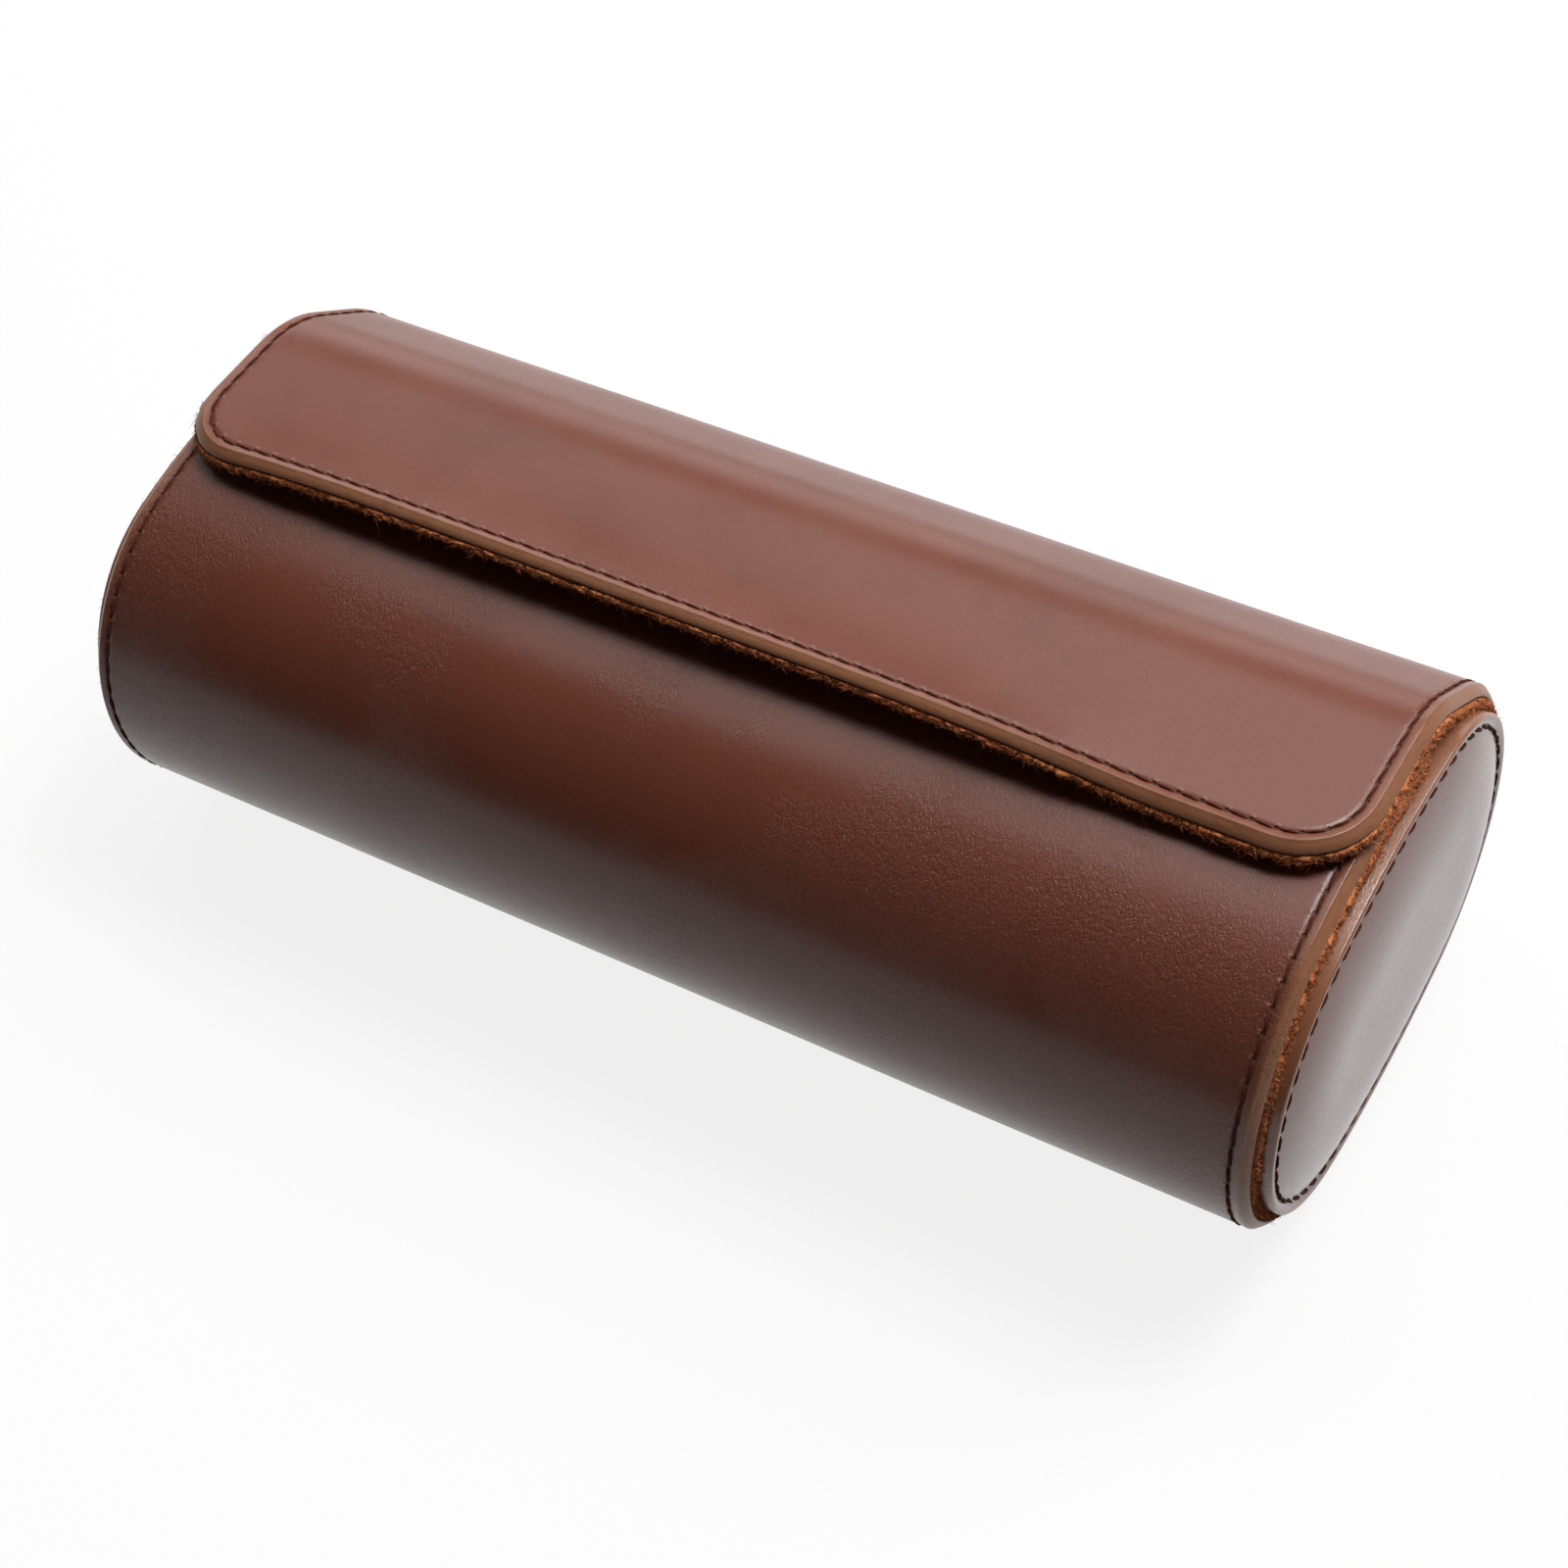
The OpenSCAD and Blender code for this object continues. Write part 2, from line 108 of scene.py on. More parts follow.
class RollSizes(bpy.types.PropertyGroup):
    """Sizes of the wrap, the flap and the front panel."""

    wrap_l: length("Wrap length", WRAP_HIGH.x - WRAP_LOW.x, "Length between the wrap's two cut edges")
    body_w: length("Body width", WRAP_HIGH.y - WRAP_LOW.y, "Width of the oval section, front to back")
    body_h: length("Body height", 75.2 * MM, "Height of the oval section before its foot is flattened")
    crown_rise: length("Crown rise", 1.6 * MM, "Rise of the crown arcs above the rounded front and back")
    foot: length("Foot depth", 0.5 * MM, "Depth of the flat that the roll stands on")
    leave: angle("Leave angle", 52, "Angle on the back shoulder where the flap leaves the oval")
    hinge: angle("Hinge angle", 35, "Angle of both fold lines on the shoulders, above level")
    bend_r: length("Bend radius", 26 * MM, "Radius of the bend between the shoulder and the flat of the flap")
    rise: angle("Flap rise", 2.5, "Slope of the flat of the flap towards its front edge")
    flap_gap: length("Flap gap", 0.4 * MM, "Least gap between the closed flap and the front panel")
    flap_reach: length("Flap reach", -FLAP_LOW.y, "Distance from the middle to the flap's front edge")
    lip_reach: length("Lip reach", PANEL_HIGH.y, "Distance of the front panel's upper edge behind the middle")
    flap_corner: length("Flap corner", 14.5 * MM, "Radius of the flap's front corners")
    lip_corner: length("Lip corner", 4 * MM, "Radius of the front panel's upper corners")
    leather_t: length("Leather", 2.2 * MM, "Thickness of the outer leather")
    lining_t: length("Lining", 1.6 * MM, "Thickness of the suede lining")
    board_t: length("Board", 1.2 * MM, "Thickness of the board in the wrap")
    flap_board_t: length("Flap board", 0.8 * MM, "Thickness of the board in the flat of the flap")
    border: length("Border", 13 * MM, "Width of the sewn border that has no board in it")
    hinge_band: length("Hinge band", 10 * MM, "Width of the strip beside each fold that has no board in it")
    bow: length("Bow", 3.2 * MM, "How far the middle of the closed flap's front edge stands up")
    bow_half: length("Bow length", 103 * MM, "Distance along the edge over which the bow fades")
    bow_x: length("Bow place", 15 * MM, "Distance of the bow's middle to the left of the roll's middle")
    band: length("Edge band", 7 * MM, "Width of the finely divided band along a sheet's cut edge")
    bevel: length("Bevel", 1.5 * MM, "Width and depth of the burnished bevel on the leather's edge")
    back_r: length("Back radius", 0.5 * MM, "Radius of the leather's edge on its flesh side")
    wave: length("Wave", 0.06 * MM, "Height of the slow unevenness of the leather")
    bend_before: length("Bend before fold", 4 * MM, "Length of the wrap that gives at an open fold")
    bend_after: length("Bend after fold", 12 * MM, "Length of the flap or panel that bends at an open fold")


class StitchSizes(bpy.types.PropertyGroup):
    """Sizes of the stitches."""

    pitch: length("Pitch", 4.3 * MM, "Distance from one stitch hole to the next")
    inset: length("Inset", 3.3 * MM, "Distance of the stitches from the leather's edge")
    thread: length("Thread", 0.5 * MM, "Diameter of the thread")
    groove: length("Groove", 0.28 * MM, "How deep the stitches pull the leather in")
    groove_w: length("Groove width", 0.55 * MM, "Half the width of the pulled-in line")
    proud: length("Proud", 0.02 * MM, "How far the middle of a stitch stands above the leather's face")
    sink: length("Sink", 0.75 * MM, "How far the ends of a stitch go down their holes")
    slant: length("Slant", 0.22 * MM, "How far the ends of a stitch lie to the two sides of its line")


class EndSizes(bpy.types.PropertyGroup):
    """Sizes of the two end panels, as insets from the outer oval and places along the roll."""

    inset: length("Skirt inset", 4.1 * MM, "Inset of the cover's skirt from the outer oval")
    cover_t: length("Cover", 1.3 * MM, "Thickness of the cover's leather")
    rim_w: length("Rim width", 2.5 * MM, "Width of the rim, from the skirt to the groove")
    rim_h: length("Rim height", 2.7 * MM, "Height of the rim beyond the wrap's edge")
    rim_r: length("Rim radius", 0.55 * MM, "Radius of the rim's outer edge")
    crown_h: length("Crown height", 5 * MM, "Height of the padded crown beyond the wrap's edge")
    crown_run: length("Crown run", 20 * MM, "Distance from the groove in to where the crown is level")
    groove: length("Groove", 0.5 * MM, "Depth of the sewn groove")
    depth: length("Lining depth", 6.8 * MM, "Distance from the wrap's edge in to the end panel's suede")
    lining_t: length("End lining", 1.2 * MM, "Thickness of the suede inside the end panel")
    board_t: length("End board", 2 * MM, "Thickness of the board in the end panel")


class InsideSizes(bpy.types.PropertyGroup):
    """Sizes of the dividers, the pillows and the snaps."""

    wall_gap: length("Wall gap", 5.3 * MM, "Inset of a divider's edge from the outer oval")
    divider_x: length("Divider place", (DIVIDER_LOW.x + DIVIDER_HIGH.x) / 2, "Place of the dividers")
    divider_t: length("Divider", DIVIDER_HIGH.x - DIVIDER_LOW.x, "Thickness of a divider with its suede")
    divider_top: length("Divider top", DIVIDER_HIGH.z, "Height of a divider's top edge")
    pillow_l: length("Pillow length", PILLOW_HIGH.x - PILLOW_LOW.x, "Length of a pillow along the roll")
    pillow_w: length("Pillow width", PILLOW_HIGH.y - PILLOW_LOW.y, "Depth of a pillow, front to back")
    pillow_h: length("Pillow height", PILLOW_HIGH.z - PILLOW_LOW.z, "Height of a pillow")
    dome: length("Pillow end", 3.2 * MM, "How far a pillow's sewn ends bulge beyond their seams")
    draw: factor("Pillow draw", 0.15, "Share of its section that a pillow loses at its end seams")
    piping: length("Piping", 0.95 * MM, "Radius of the corded seams of a pillow")
    pucker: factor("Pucker", 0.042, "Height of the folds at the seams as a share of the radius")
    snap_inset: length("Snap inset", 48 * MM, "Distance of each snap from the end of the roll")
    snap_y: bpy.props.FloatProperty(
        name="Snap place", description="Place of the snaps behind the middle of the roll",
        default=-2 * MM, precision=5, unit="LENGTH",
    )


class RollColours(bpy.types.PropertyGroup):
    """Colours of the leather, the suede, the thread and the fittings, in linear values."""

    leather: colour("Leather", (0.185, 0.053, 0.031), "Field of the chestnut leather")
    # This colour also gives the painted shade that darkens the front of the wrap's leather.
    leather_dark_and_shade: colour("Dark leather", (0.125, 0.033, 0.019), "Darker clouds in the leather")
    # Painted highlight: the tops of the leather's grain are lightened towards this colour.
    leather_grain_highlight: colour("Light leather", (0.33, 0.115, 0.070), "Rubbed tops of the leather's grain")
    edge: colour("Leather edge", (0.32, 0.136, 0.064), "Pressed and burnished edge of the leather")
    bevel: colour("Bevel", (0.33, 0.142, 0.070), "Burnished bevel of the leather's edge")
    cut: colour("Cut edge", (0.12, 0.045, 0.02), "Dark line where the leather meets the lining")
    suede: colour("Suede", (0.64, 0.215, 0.080), "Orange-brown nap of the lining")
    # Painted light: the cut edge's suede and fibres are a brightened copy of the lining's suede that offsets
    # the shade under the flap.
    nap: colour("Cut suede", (1.0, 0.34, 0.13), "Bright fibres on the lining's cut edge")
    suede_dark: colour("Dark suede", (0.14, 0.042, 0.017), "Pits between the fibres of the lining")
    thread: colour("Thread", (0.065, 0.017, 0.011), "Waxed brown thread")
    pillow: colour("Pillow suede", (0.42, 0.20, 0.09), "Paler suede of the pillows and dividers")
    pillow_dark: colour("Dark pillow suede", (0.15, 0.062, 0.025), "Pits in the pillows' suede")
    foam: colour("Foam", (0.72, 0.66, 0.50), "Foam of the pads and the pillows' cores")
    board: colour("Board", (0.30, 0.27, 0.23), "Pressed fibre board")
    brass: colour("Brass", (0.55, 0.40, 0.19), "Aged brass of the snaps")
    floor: colour("Floor", (0.93, 0.93, 0.93), "Pale floor")


class StageSettings(bpy.types.PropertyGroup):
    """Place of the camera, as read from the photograph's perspective."""

    camera_place: bpy.props.FloatVectorProperty(
        name="Camera place", description="Place of the camera", default=(0.2272, -0.27825, 0.47127), size=3,
        subtype="TRANSLATION", unit="LENGTH",
    )
    azimuth: angle("Azimuth", 39.316, "Direction of the camera round the roll, 0 being its front")
    elevation: angle("Elevation", 51.465, "Angle of the camera above level")
    roll: angle("Roll", -11.471, "Turn of the camera about its own line of sight")
    lens: bpy.props.FloatProperty(
        name="Lens", description="Focal length on a sensor 36 mm wide", default=69.56, unit="CAMERA"
    )


class Value:
    """A shader socket that can be added, multiplied and compared; each operation adds a Math node."""

    def __init__(self, net, socket):
        self.net = net
        self.socket = socket

    def _math(self, operation, other=None, swap=False):
        terms = [self] if other is None else ([other, self] if swap else [self, other])
        return self.net.node("ShaderNodeMath", {"operation": operation}, dict(enumerate(terms)))

    def __add__(self, other): return self._math("ADD", other)
    def __radd__(self, other): return self._math("ADD", other, True)
    def __sub__(self, other): return self._math("SUBTRACT", other)
    def __rsub__(self, other): return self._math("SUBTRACT", other, True)
    def __mul__(self, other): return self._math("MULTIPLY", other)
    def __rmul__(self, other): return self._math("MULTIPLY", other, True)
    def __truediv__(self, other): return self._math("DIVIDE", other)
    def __rtruediv__(self, other): return self._math("DIVIDE", other, True)
    def __pow__(self, other): return self._math("POWER", other)
    def __abs__(self): return self._math("ABSOLUTE")
    def fraction(self): return self._math("FRACT")
    def highest(self, other): return self._math("MAXIMUM", other)


class Net:
    """The node tree of one material, with its Principled shader."""

    def __init__(self, name):
        self.material = bpy.data.materials.new(name)
        self.material.use_nodes = True
        self.tree = self.material.node_tree
        self.tree.nodes.clear()
        self.shader = self.tree.nodes.new("ShaderNodeBsdfPrincipled")
        output = self.tree.nodes.new("ShaderNodeOutputMaterial")
        self.tree.links.new(self.shader.outputs[0], output.inputs[0])

    def node(self, kind, settings=None, inputs=None, output=0):
        """Adds a node of a kind with its settings and gives its sockets values or links."""
        made = self.tree.nodes.new(kind)
        for name, value in (settings or {}).items():
            setattr(made, name, value)
        for name, value in (inputs or {}).items():
            self.plug(made.inputs[name], value)
        return Value(self, made.outputs[output])

    def plug(self, socket, value):
        """Links a value to a socket, or sets a plain number or colour on it."""
        if isinstance(value, Value):
            for link in socket.links:
                self.tree.links.remove(link)
            self.tree.links.new(value.socket, socket)
        elif hasattr(socket.default_value, "__len__") and len(value) < len(socket.default_value):
            socket.default_value = (*value, 1.0)
        else:
            socket.default_value = value

    def step(self, value, low, high):
        """0 below low, 1 above high and smooth between; low may be the greater one."""
        return self.node("ShaderNodeMapRange", {"interpolation_type": "SMOOTHSTEP"},
                         {"Value": value, "From Min": low, "From Max": high})

    def mix(self, factor, first, second):
        """The first colour turning into the second as factor goes from 0 to 1, by the colour sockets."""
        return self.node("ShaderNodeMix", {"data_type": "RGBA"}, {0: factor, 6: first, 7: second}, 2)

    def attribute(self, name):
        """A vector stored on the mesh."""
        return self.node("ShaderNodeAttribute", {"attribute_name": name}, output=1)

    def place(self):
        """Object coordinates."""
        return self.node("ShaderNodeTexCoord", output=3)

    def axis(self, vector, number):
        """One axis of a vector."""
        return self.node("ShaderNodeSeparateXYZ", inputs={0: vector}, output=number)

    def scaled(self, vector, factors):
        """A vector multiplied axis by axis."""
        return self.node("ShaderNodeVectorMath", {"operation": "MULTIPLY"}, {0: vector, 1: factors})

    def noise(self, vector, scale, detail=3.0, rough=0.5, distortion=0.0):
        """Smooth noise from 0 to 1, with about as many humps a metre as its scale says."""
        return self.node("ShaderNodeTexNoise", None, {
            "Vector": vector, "Scale": scale, "Detail": detail, "Roughness": rough, "Distortion": distortion})

    def warped(self, vector, scale, reach):
        """A vector pushed about by noise, up to a reach in metres each way."""
        noise = self.node("ShaderNodeTexNoise", None, {"Vector": vector, "Scale": scale, "Detail": 2.0}, 1)
        centred = self.node("ShaderNodeVectorMath", {"operation": "SUBTRACT"}, {0: noise, 1: (0.5, 0.5, 0.5)})
        return self.node("ShaderNodeVectorMath", {"operation": "MULTIPLY_ADD"},
                         {0: centred, 1: (2 * reach, 2 * reach, 2 * reach), 2: vector})

    def cells(self, vector, scale):
        """Distance to the wall of the cell that a point lies in."""
        return self.node("ShaderNodeTexVoronoi", {"feature": "DISTANCE_TO_EDGE"},
                         {"Vector": vector, "Scale": scale})

    def bump(self, height, distance, strength=1.0, below=None):
        """A normal tilted by a height whose full range stands for a distance in metres."""
        inputs = {"Height": height, "Distance": distance, "Strength": strength}
        if below is not None:
            inputs["Normal"] = below
        return self.node("ShaderNodeBump", None, inputs)

    def finish(self, **sockets):
        """Gives the Principled shader its sockets and returns the material."""
        for name, value in sockets.items():
            self.plug(self.shader.inputs[name.replace("_", " ").title().replace("Ior", "IOR")], value)
        return self.material


def leather_surface(net, colours, flat, strength):
    """Grain, creases and clouds of the leather on a flat map, the grain at a strength from 0 to 1;
    returns colour, roughness and the grain's normal."""
    clouds = net.noise(flat, 26.0, 4.0, 0.6, 0.3)
    specks = net.noise(flat, 1100.0, 3.0, 0.65)
    field = net.mix(net.step(clouds, 0.40, 0.72) * 0.55, colours.leather, colours.leather_dark_and_shade)
    field = net.mix(net.step(specks, 0.48, 0.80) * 0.4, field, colours.leather_dark_and_shade)
    bent = net.warped(flat, 600.0, 0.7 * MM)
    strokes = net.noise(net.scaled(bent, (1.0, 0.32, 1.0)), 2250.0, 3.0, 0.6)
    creases = net.cells(net.scaled(bent, (1.0, 0.36, 1.0)), 2050.0)
    patches = net.step(net.noise(flat, 24.0, 3.0), 0.42, 0.60)
    lines = net.step(creases, 0.0, 0.22) * 0.5 + net.step(strokes, 0.36, 0.58) * 0.5
    slow = net.noise(flat, 170.0, 3.0, 0.55)
    normal = net.bump(slow, 0.08 * MM)
    grain = lines * (0.15 + 0.85 * patches) * strength
    normal = net.bump(grain, 0.12 * MM, 1.0, normal)
    # Painted highlight on the grain's tops, mixed in by the grain's height.
    field = net.mix(grain * 0.30, field, colours.leather_grain_highlight)
    rough = 0.28 + 0.06 * clouds + 0.10 * specks
    return field, rough, normal


def wrap_leather_material(colours, stitch):
    """Chestnut leather: clouded field with painted shade on the front, pressed tan edge band, burnished cut
    edge and stitch holes with a painted highlight beside each.
    """
    net = Net("chestnut_leather")
    flat = net.attribute("sheet")
    edge = net.attribute("edge")
    along, inset, depth = net.axis(edge, 0), net.axis(edge, 1), net.axis(flat, 2)
    front = net.step(net.axis(flat, 1), 0.0, -30 * MM)
    field, rough, normal = leather_surface(net, colours, flat, 0.35 + 0.65 * front)
    # Painted shade: past 30 mm up the front from the foot, the leather is darkened towards the dark leather
    # colour to stand in for the shade on the front.
    field = net.mix(front * 0.45, field, colours.leather_dark_and_shade)
    uneven = net.noise(flat, 260.0, 3.0, 0.6)
    band = net.step(inset + (uneven - 0.5) * 1.6 * MM, stitch.inset - 0.1 * MM, stitch.inset - 1.9 * MM)
    worn = net.mix(net.step(uneven, 0.3, 0.7) * 0.45, colours.edge, colours.leather)
    tan = net.mix(band * (0.45 + 0.35 * uneven), field, worn)
    streaks = net.noise(net.scaled(flat, (1.0, 1.0, 5.0)), 420.0, 3.0, 0.6)
    bevelled = net.step(inset + (uneven - 0.5) * 0.5 * MM, 1.6 * MM, 1.1 * MM)
    burnished = net.mix(net.step(streaks, 0.45, 0.85) * 0.5, colours.bevel, colours.cut)
    tan = net.mix(bevelled * 0.85, tan, burnished)
    glue = net.step(depth, 1.75 * MM, 2.1 * MM)
    tan = net.mix(glue, tan, colours.cut)
    phase = (0.5 - abs((along / stitch.pitch).fraction() - 0.5)) * stitch.pitch
    near = (abs(inset - stitch.inset) ** 2 + phase ** 2) ** 0.5
    # Painted highlight: a light mark of the edge colour beside each stitch hole, on its side away from the
    # edge, for the shine on the raised leather there.
    beside = (abs(inset - stitch.inset - 0.6 * MM) ** 2 + phase ** 2) ** 0.5
    dent = net.step(near, 0.55 * MM, 0.20 * MM)
    painted_notch_highlight = net.step(beside, 0.75 * MM, 0.25 * MM) * (1.0 - dent)
    line = net.step(abs(inset - stitch.inset), 0.50 * MM, 0.15 * MM)
    top = net.step(depth, 0.6 * MM, 0.4 * MM)
    shaded = net.mix(line * top * 0.55, tan, colours.cut)
    shaded = net.mix(painted_notch_highlight * top * 0.35, shaded, colours.edge)
    shaded = net.mix(dent * top * 0.85, shaded, colours.thread)
    normal = net.bump((painted_notch_highlight * 0.5 - dent) * top, 0.25 * MM, 1.0, normal)
    matt = (dent.highest(line) * top).highest(glue)
    dull = bevelled * (1.0 - matt)
    rough = rough - 0.06 * band + 0.4 * matt + 0.10 * dull
    return net.finish(base_color=shaded, roughness=rough, normal=normal, specular_ior_level=0.26,
                      coat_weight=0.4 - 0.4 * matt - 0.25 * dull, coat_roughness=0.26)


def end_leather_material(colours, ends):
    """The same leather stretched over the end panels, with a burnished rim."""
    net = Net("stretched_leather")
    field, rough, normal = leather_surface(net, colours, net.place(), 0.3)
    inset = net.axis(net.attribute("edge"), 1)
    uneven = net.noise(net.place(), 260.0, 3.0, 0.6)
    rim = net.step(inset + (uneven - 0.5) * 1.0 * MM, ends.inset + 1.7 * MM, ends.inset + 0.6 * MM)
    tan = net.mix(rim * 0.75, field, colours.bevel)
    groove = net.step(abs(inset - ends.inset - ends.rim_w), 0.7 * MM, 0.2 * MM)
    tan = net.mix(groove * 0.5, tan, colours.cut)
    return net.finish(base_color=tan, roughness=rough - 0.08, normal=normal, coat_weight=0.5 - 0.3 * rim,
                      coat_roughness=0.14, coat_ior=1.6)


def suede_material(name, light, dark, mapped):
    """Napped suede: tufts of a lighter and a darker tone with fine raised fibres."""
    net = Net(name)
    flat = net.attribute("sheet") if mapped else net.place()
    tufts = net.noise(flat, 900.0, 4.0, 0.65, 0.4)
    nap = net.noise(net.scaled(flat, (1.0, 0.5, 1.0)), 3600.0, 3.0, 0.6)
    brushed = net.noise(flat, 30.0, 2.0, 0.5, 0.6)
    shade = net.step(tufts * 0.6 + nap * 0.4, 0.34, 0.62)
    colour_now = net.mix(shade, dark, light)
    stroked = net.noise(flat, 170.0, 3.0, 0.6, 0.8)
    colour_now = net.mix(net.step(brushed, 0.42, 0.62) * 0.22, colour_now, dark)
    colour_now = net.mix(net.step(stroked, 0.44, 0.62) * 0.42, colour_now, dark)
    normal = net.bump(tufts * 0.5 + nap * 0.5, 0.22 * MM, 1.0)
    return net.finish(base_color=colour_now, roughness=0.9, normal=normal, sheen_weight=0.35,
                      sheen_roughness=0.45, sheen_tint=(*light, 1.0), specular_ior_level=0.2)


def fibre_material(colours):
    """Single suede fibres, lighter and darker from one to the next."""
    net = Net("suede_fibre")
    shade = net.axis(net.attribute("tone"), 0)
    # The fibres take the cut-suede colour, a brightened copy of the lining's suede, painted light that
    # offsets the shade under the flap.
    colour_now = net.mix(shade, colours.suede_dark, colours.nap)
    return net.finish(base_color=colour_now, roughness=0.85, specular_ior_level=0.2)


def thread_material(colours):
    """Waxed brown thread with fine filaments."""
    net = Net("waxed_thread")
    lay = net.noise(net.place(), 5200.0, 2.0, 0.6)
    lighter = tuple(min(1.0, c * 2.2) for c in colours.thread)
    colour_now = net.mix(net.step(lay, 0.4, 0.7), colours.thread, lighter)
    return net.finish(base_color=colour_now, roughness=0.75, specular_ior_level=0.12,
                      normal=net.bump(lay, 0.06 * MM))


def board_material(colours):
    """Grey fibre board with flecks."""
    net = Net("fibre_board")
    flecks = net.noise(net.place(), 1500.0, 4.0, 0.7)
    dark = tuple(c * 0.6 for c in colours.board)
    return net.finish(base_color=net.mix(net.step(flecks, 0.35, 0.65), dark, colours.board),
                      roughness=0.9, normal=net.bump(flecks, 0.08 * MM))


def foam_material(colours):
    """Open-cell foam."""
    net = Net("open_foam")
    cells = net.cells(net.place(), 1300.0)
    dark = tuple(c * 0.55 for c in colours.foam)
    return net.finish(base_color=net.mix(net.step(cells, 0.0, 0.3), colours.foam, dark),
                      roughness=0.95, normal=net.bump(cells, -0.3 * MM))


def brass_material(colours):
    """Aged brass, darker and rougher in patches, with fine rubbing marks."""
    net = Net("aged_brass")
    patches = net.noise(net.place(), 420.0, 3.0, 0.6)
    marks = net.noise(net.scaled(net.place(), (1.0, 9.0, 1.0)), 1800.0, 2.0, 0.6)
    dark = tuple(c * 0.45 for c in colours.brass)
    return net.finish(base_color=net.mix(net.step(patches, 0.4, 0.75) * 0.7, colours.brass, dark),
                      metallic=1.0, roughness=0.26 + 0.2 * patches + 0.08 * marks,
                      normal=net.bump(marks, 0.01 * MM))


def grid_faces(rows, columns, closed=False):
    """Quads between neighbouring rows and columns of vertices numbered row by row.
    Closed joins the last column to the first."""
    row = np.arange(rows - 1)[:, None]
    column = np.arange(columns if closed else columns - 1)[None, :]
    after = (column + 1) % columns
    corners = (row * columns + column, row * columns + after,
               (row + 1) * columns + after, (row + 1) * columns + column)
    return np.stack(corners, -1).reshape(-1, 4)


def new_piece(name, points, faces, material, layers=None, caps=()):
    """A smooth closed mesh of points, quads and many-sided caps, its faces turned outwards."""
    mesh = bpy.data.meshes.new(name)
    mesh.from_pydata(np.asarray(points).reshape(-1, 3).tolist(), [], faces.tolist() + [list(c) for c in caps])
    for layer, values in (layers or {}).items():
        stored = mesh.attributes.new(layer, "FLOAT_VECTOR", "POINT")
        stored.data.foreach_set("vector", np.asarray(values, np.float32).ravel())
    shape = bmesh.new()
    shape.from_mesh(mesh)
    bmesh.ops.remove_doubles(shape, verts=shape.verts, dist=1e-7)
    bmesh.ops.recalc_face_normals(shape, faces=shape.faces)
    shape.to_mesh(mesh)
    shape.free()
    mesh.shade_smooth()
    mesh.materials.append(material)
    piece = bpy.data.objects.new(name, mesh)
    bpy.context.scene.collection.objects.link(piece)
    return piece


def soften_angles(piece, degrees):
    """Keeps edges sharper than an angle crisp while the rest stays smooth."""
    piece.data.set_sharp_from_angle(angle=math.radians(degrees))


def material(name):
    """A finish that the materials operator has made."""
    return bpy.data.materials[name]


class Oval:
    """The four-centre oval of the section and the line of the flap that leaves it."""

    def __init__(self, sizes):
        self.half_h = sizes.body_h / 2
        self.shoulder_r = self.half_h - sizes.crown_rise
        self.arc_y = sizes.body_w / 2 - self.shoulder_r
        self.crown_r = (self.arc_y ** 2 + self.half_h ** 2 - self.shoulder_r ** 2) / (2 * sizes.crown_rise)
        self.crown_z = self.crown_r - self.half_h
        self.join = math.atan2(self.crown_z, self.arc_y)
        self.middle_z = self.half_h - sizes.foot
        sheet_t = sizes.leather_t + sizes.lining_t
        self.flat = math.pi / 2 - sizes.rise
        self.leave_reach = self.arc_y * math.cos(sizes.leave) + self.shoulder_r
        self.flat_reach = self.crown_r + sizes.flap_gap + sheet_t - self.crown_z * math.cos(sizes.rise)
        self.bend = self.crossing(sizes.leave, self.leave_reach - sizes.bend_r,
                                  self.flat, self.flat_reach - sizes.bend_r)

    @staticmethod
    def crossing(a1, h1, a2, h2):
        """Where two lines meet, each given by its normal's angle and its distance from the origin."""
        turn = math.cos(a1) * math.sin(a2) - math.sin(a1) * math.cos(a2)
        return ((h1 * math.sin(a2) - h2 * math.sin(a1)) / turn,
                (h2 * math.cos(a1) - h1 * math.cos(a2)) / turn)

    def ring(self, inset, shoulder_n=50, crown_n=22):
        """Points (y, z) round the oval at an inset, so many on each shoulder and each crown arc: each is an
        arc's centre plus its radius less the inset, along an angle that grows evenly through the back, the
        top, the front and the bottom."""
        pieces = []
        half = math.pi - 2 * self.join
        for turn in (0.0, math.pi):
            a = np.linspace(-self.join, self.join, shoulder_n, endpoint=False) + turn
            centre = self.arc_y * math.cos(turn)
            r = self.shoulder_r - inset
            pieces.append(np.stack([centre + r * np.cos(a), r * np.sin(a)], -1))
            a = self.join + np.linspace(0, half, crown_n, endpoint=False) + turn
            r = self.crown_r - inset
            pieces.append(np.stack([r * np.cos(a), r * np.sin(a) - self.crown_z * math.cos(turn)], -1))
        return np.concatenate(pieces)

    def inset_of(self, y, z):
        """Distance in from the oval: the radius less the distance to the arc's centre, by sector."""
        y, z = np.abs(y), np.abs(z)
        in_shoulder = np.arctan2(z, y - self.arc_y) <= self.join
        return np.where(in_shoulder, self.shoulder_r - np.hypot(y - self.arc_y, z),
                        self.crown_r - np.hypot(y, z + self.crown_z))


Arc = namedtuple("Arc", "y z radius start sense run")


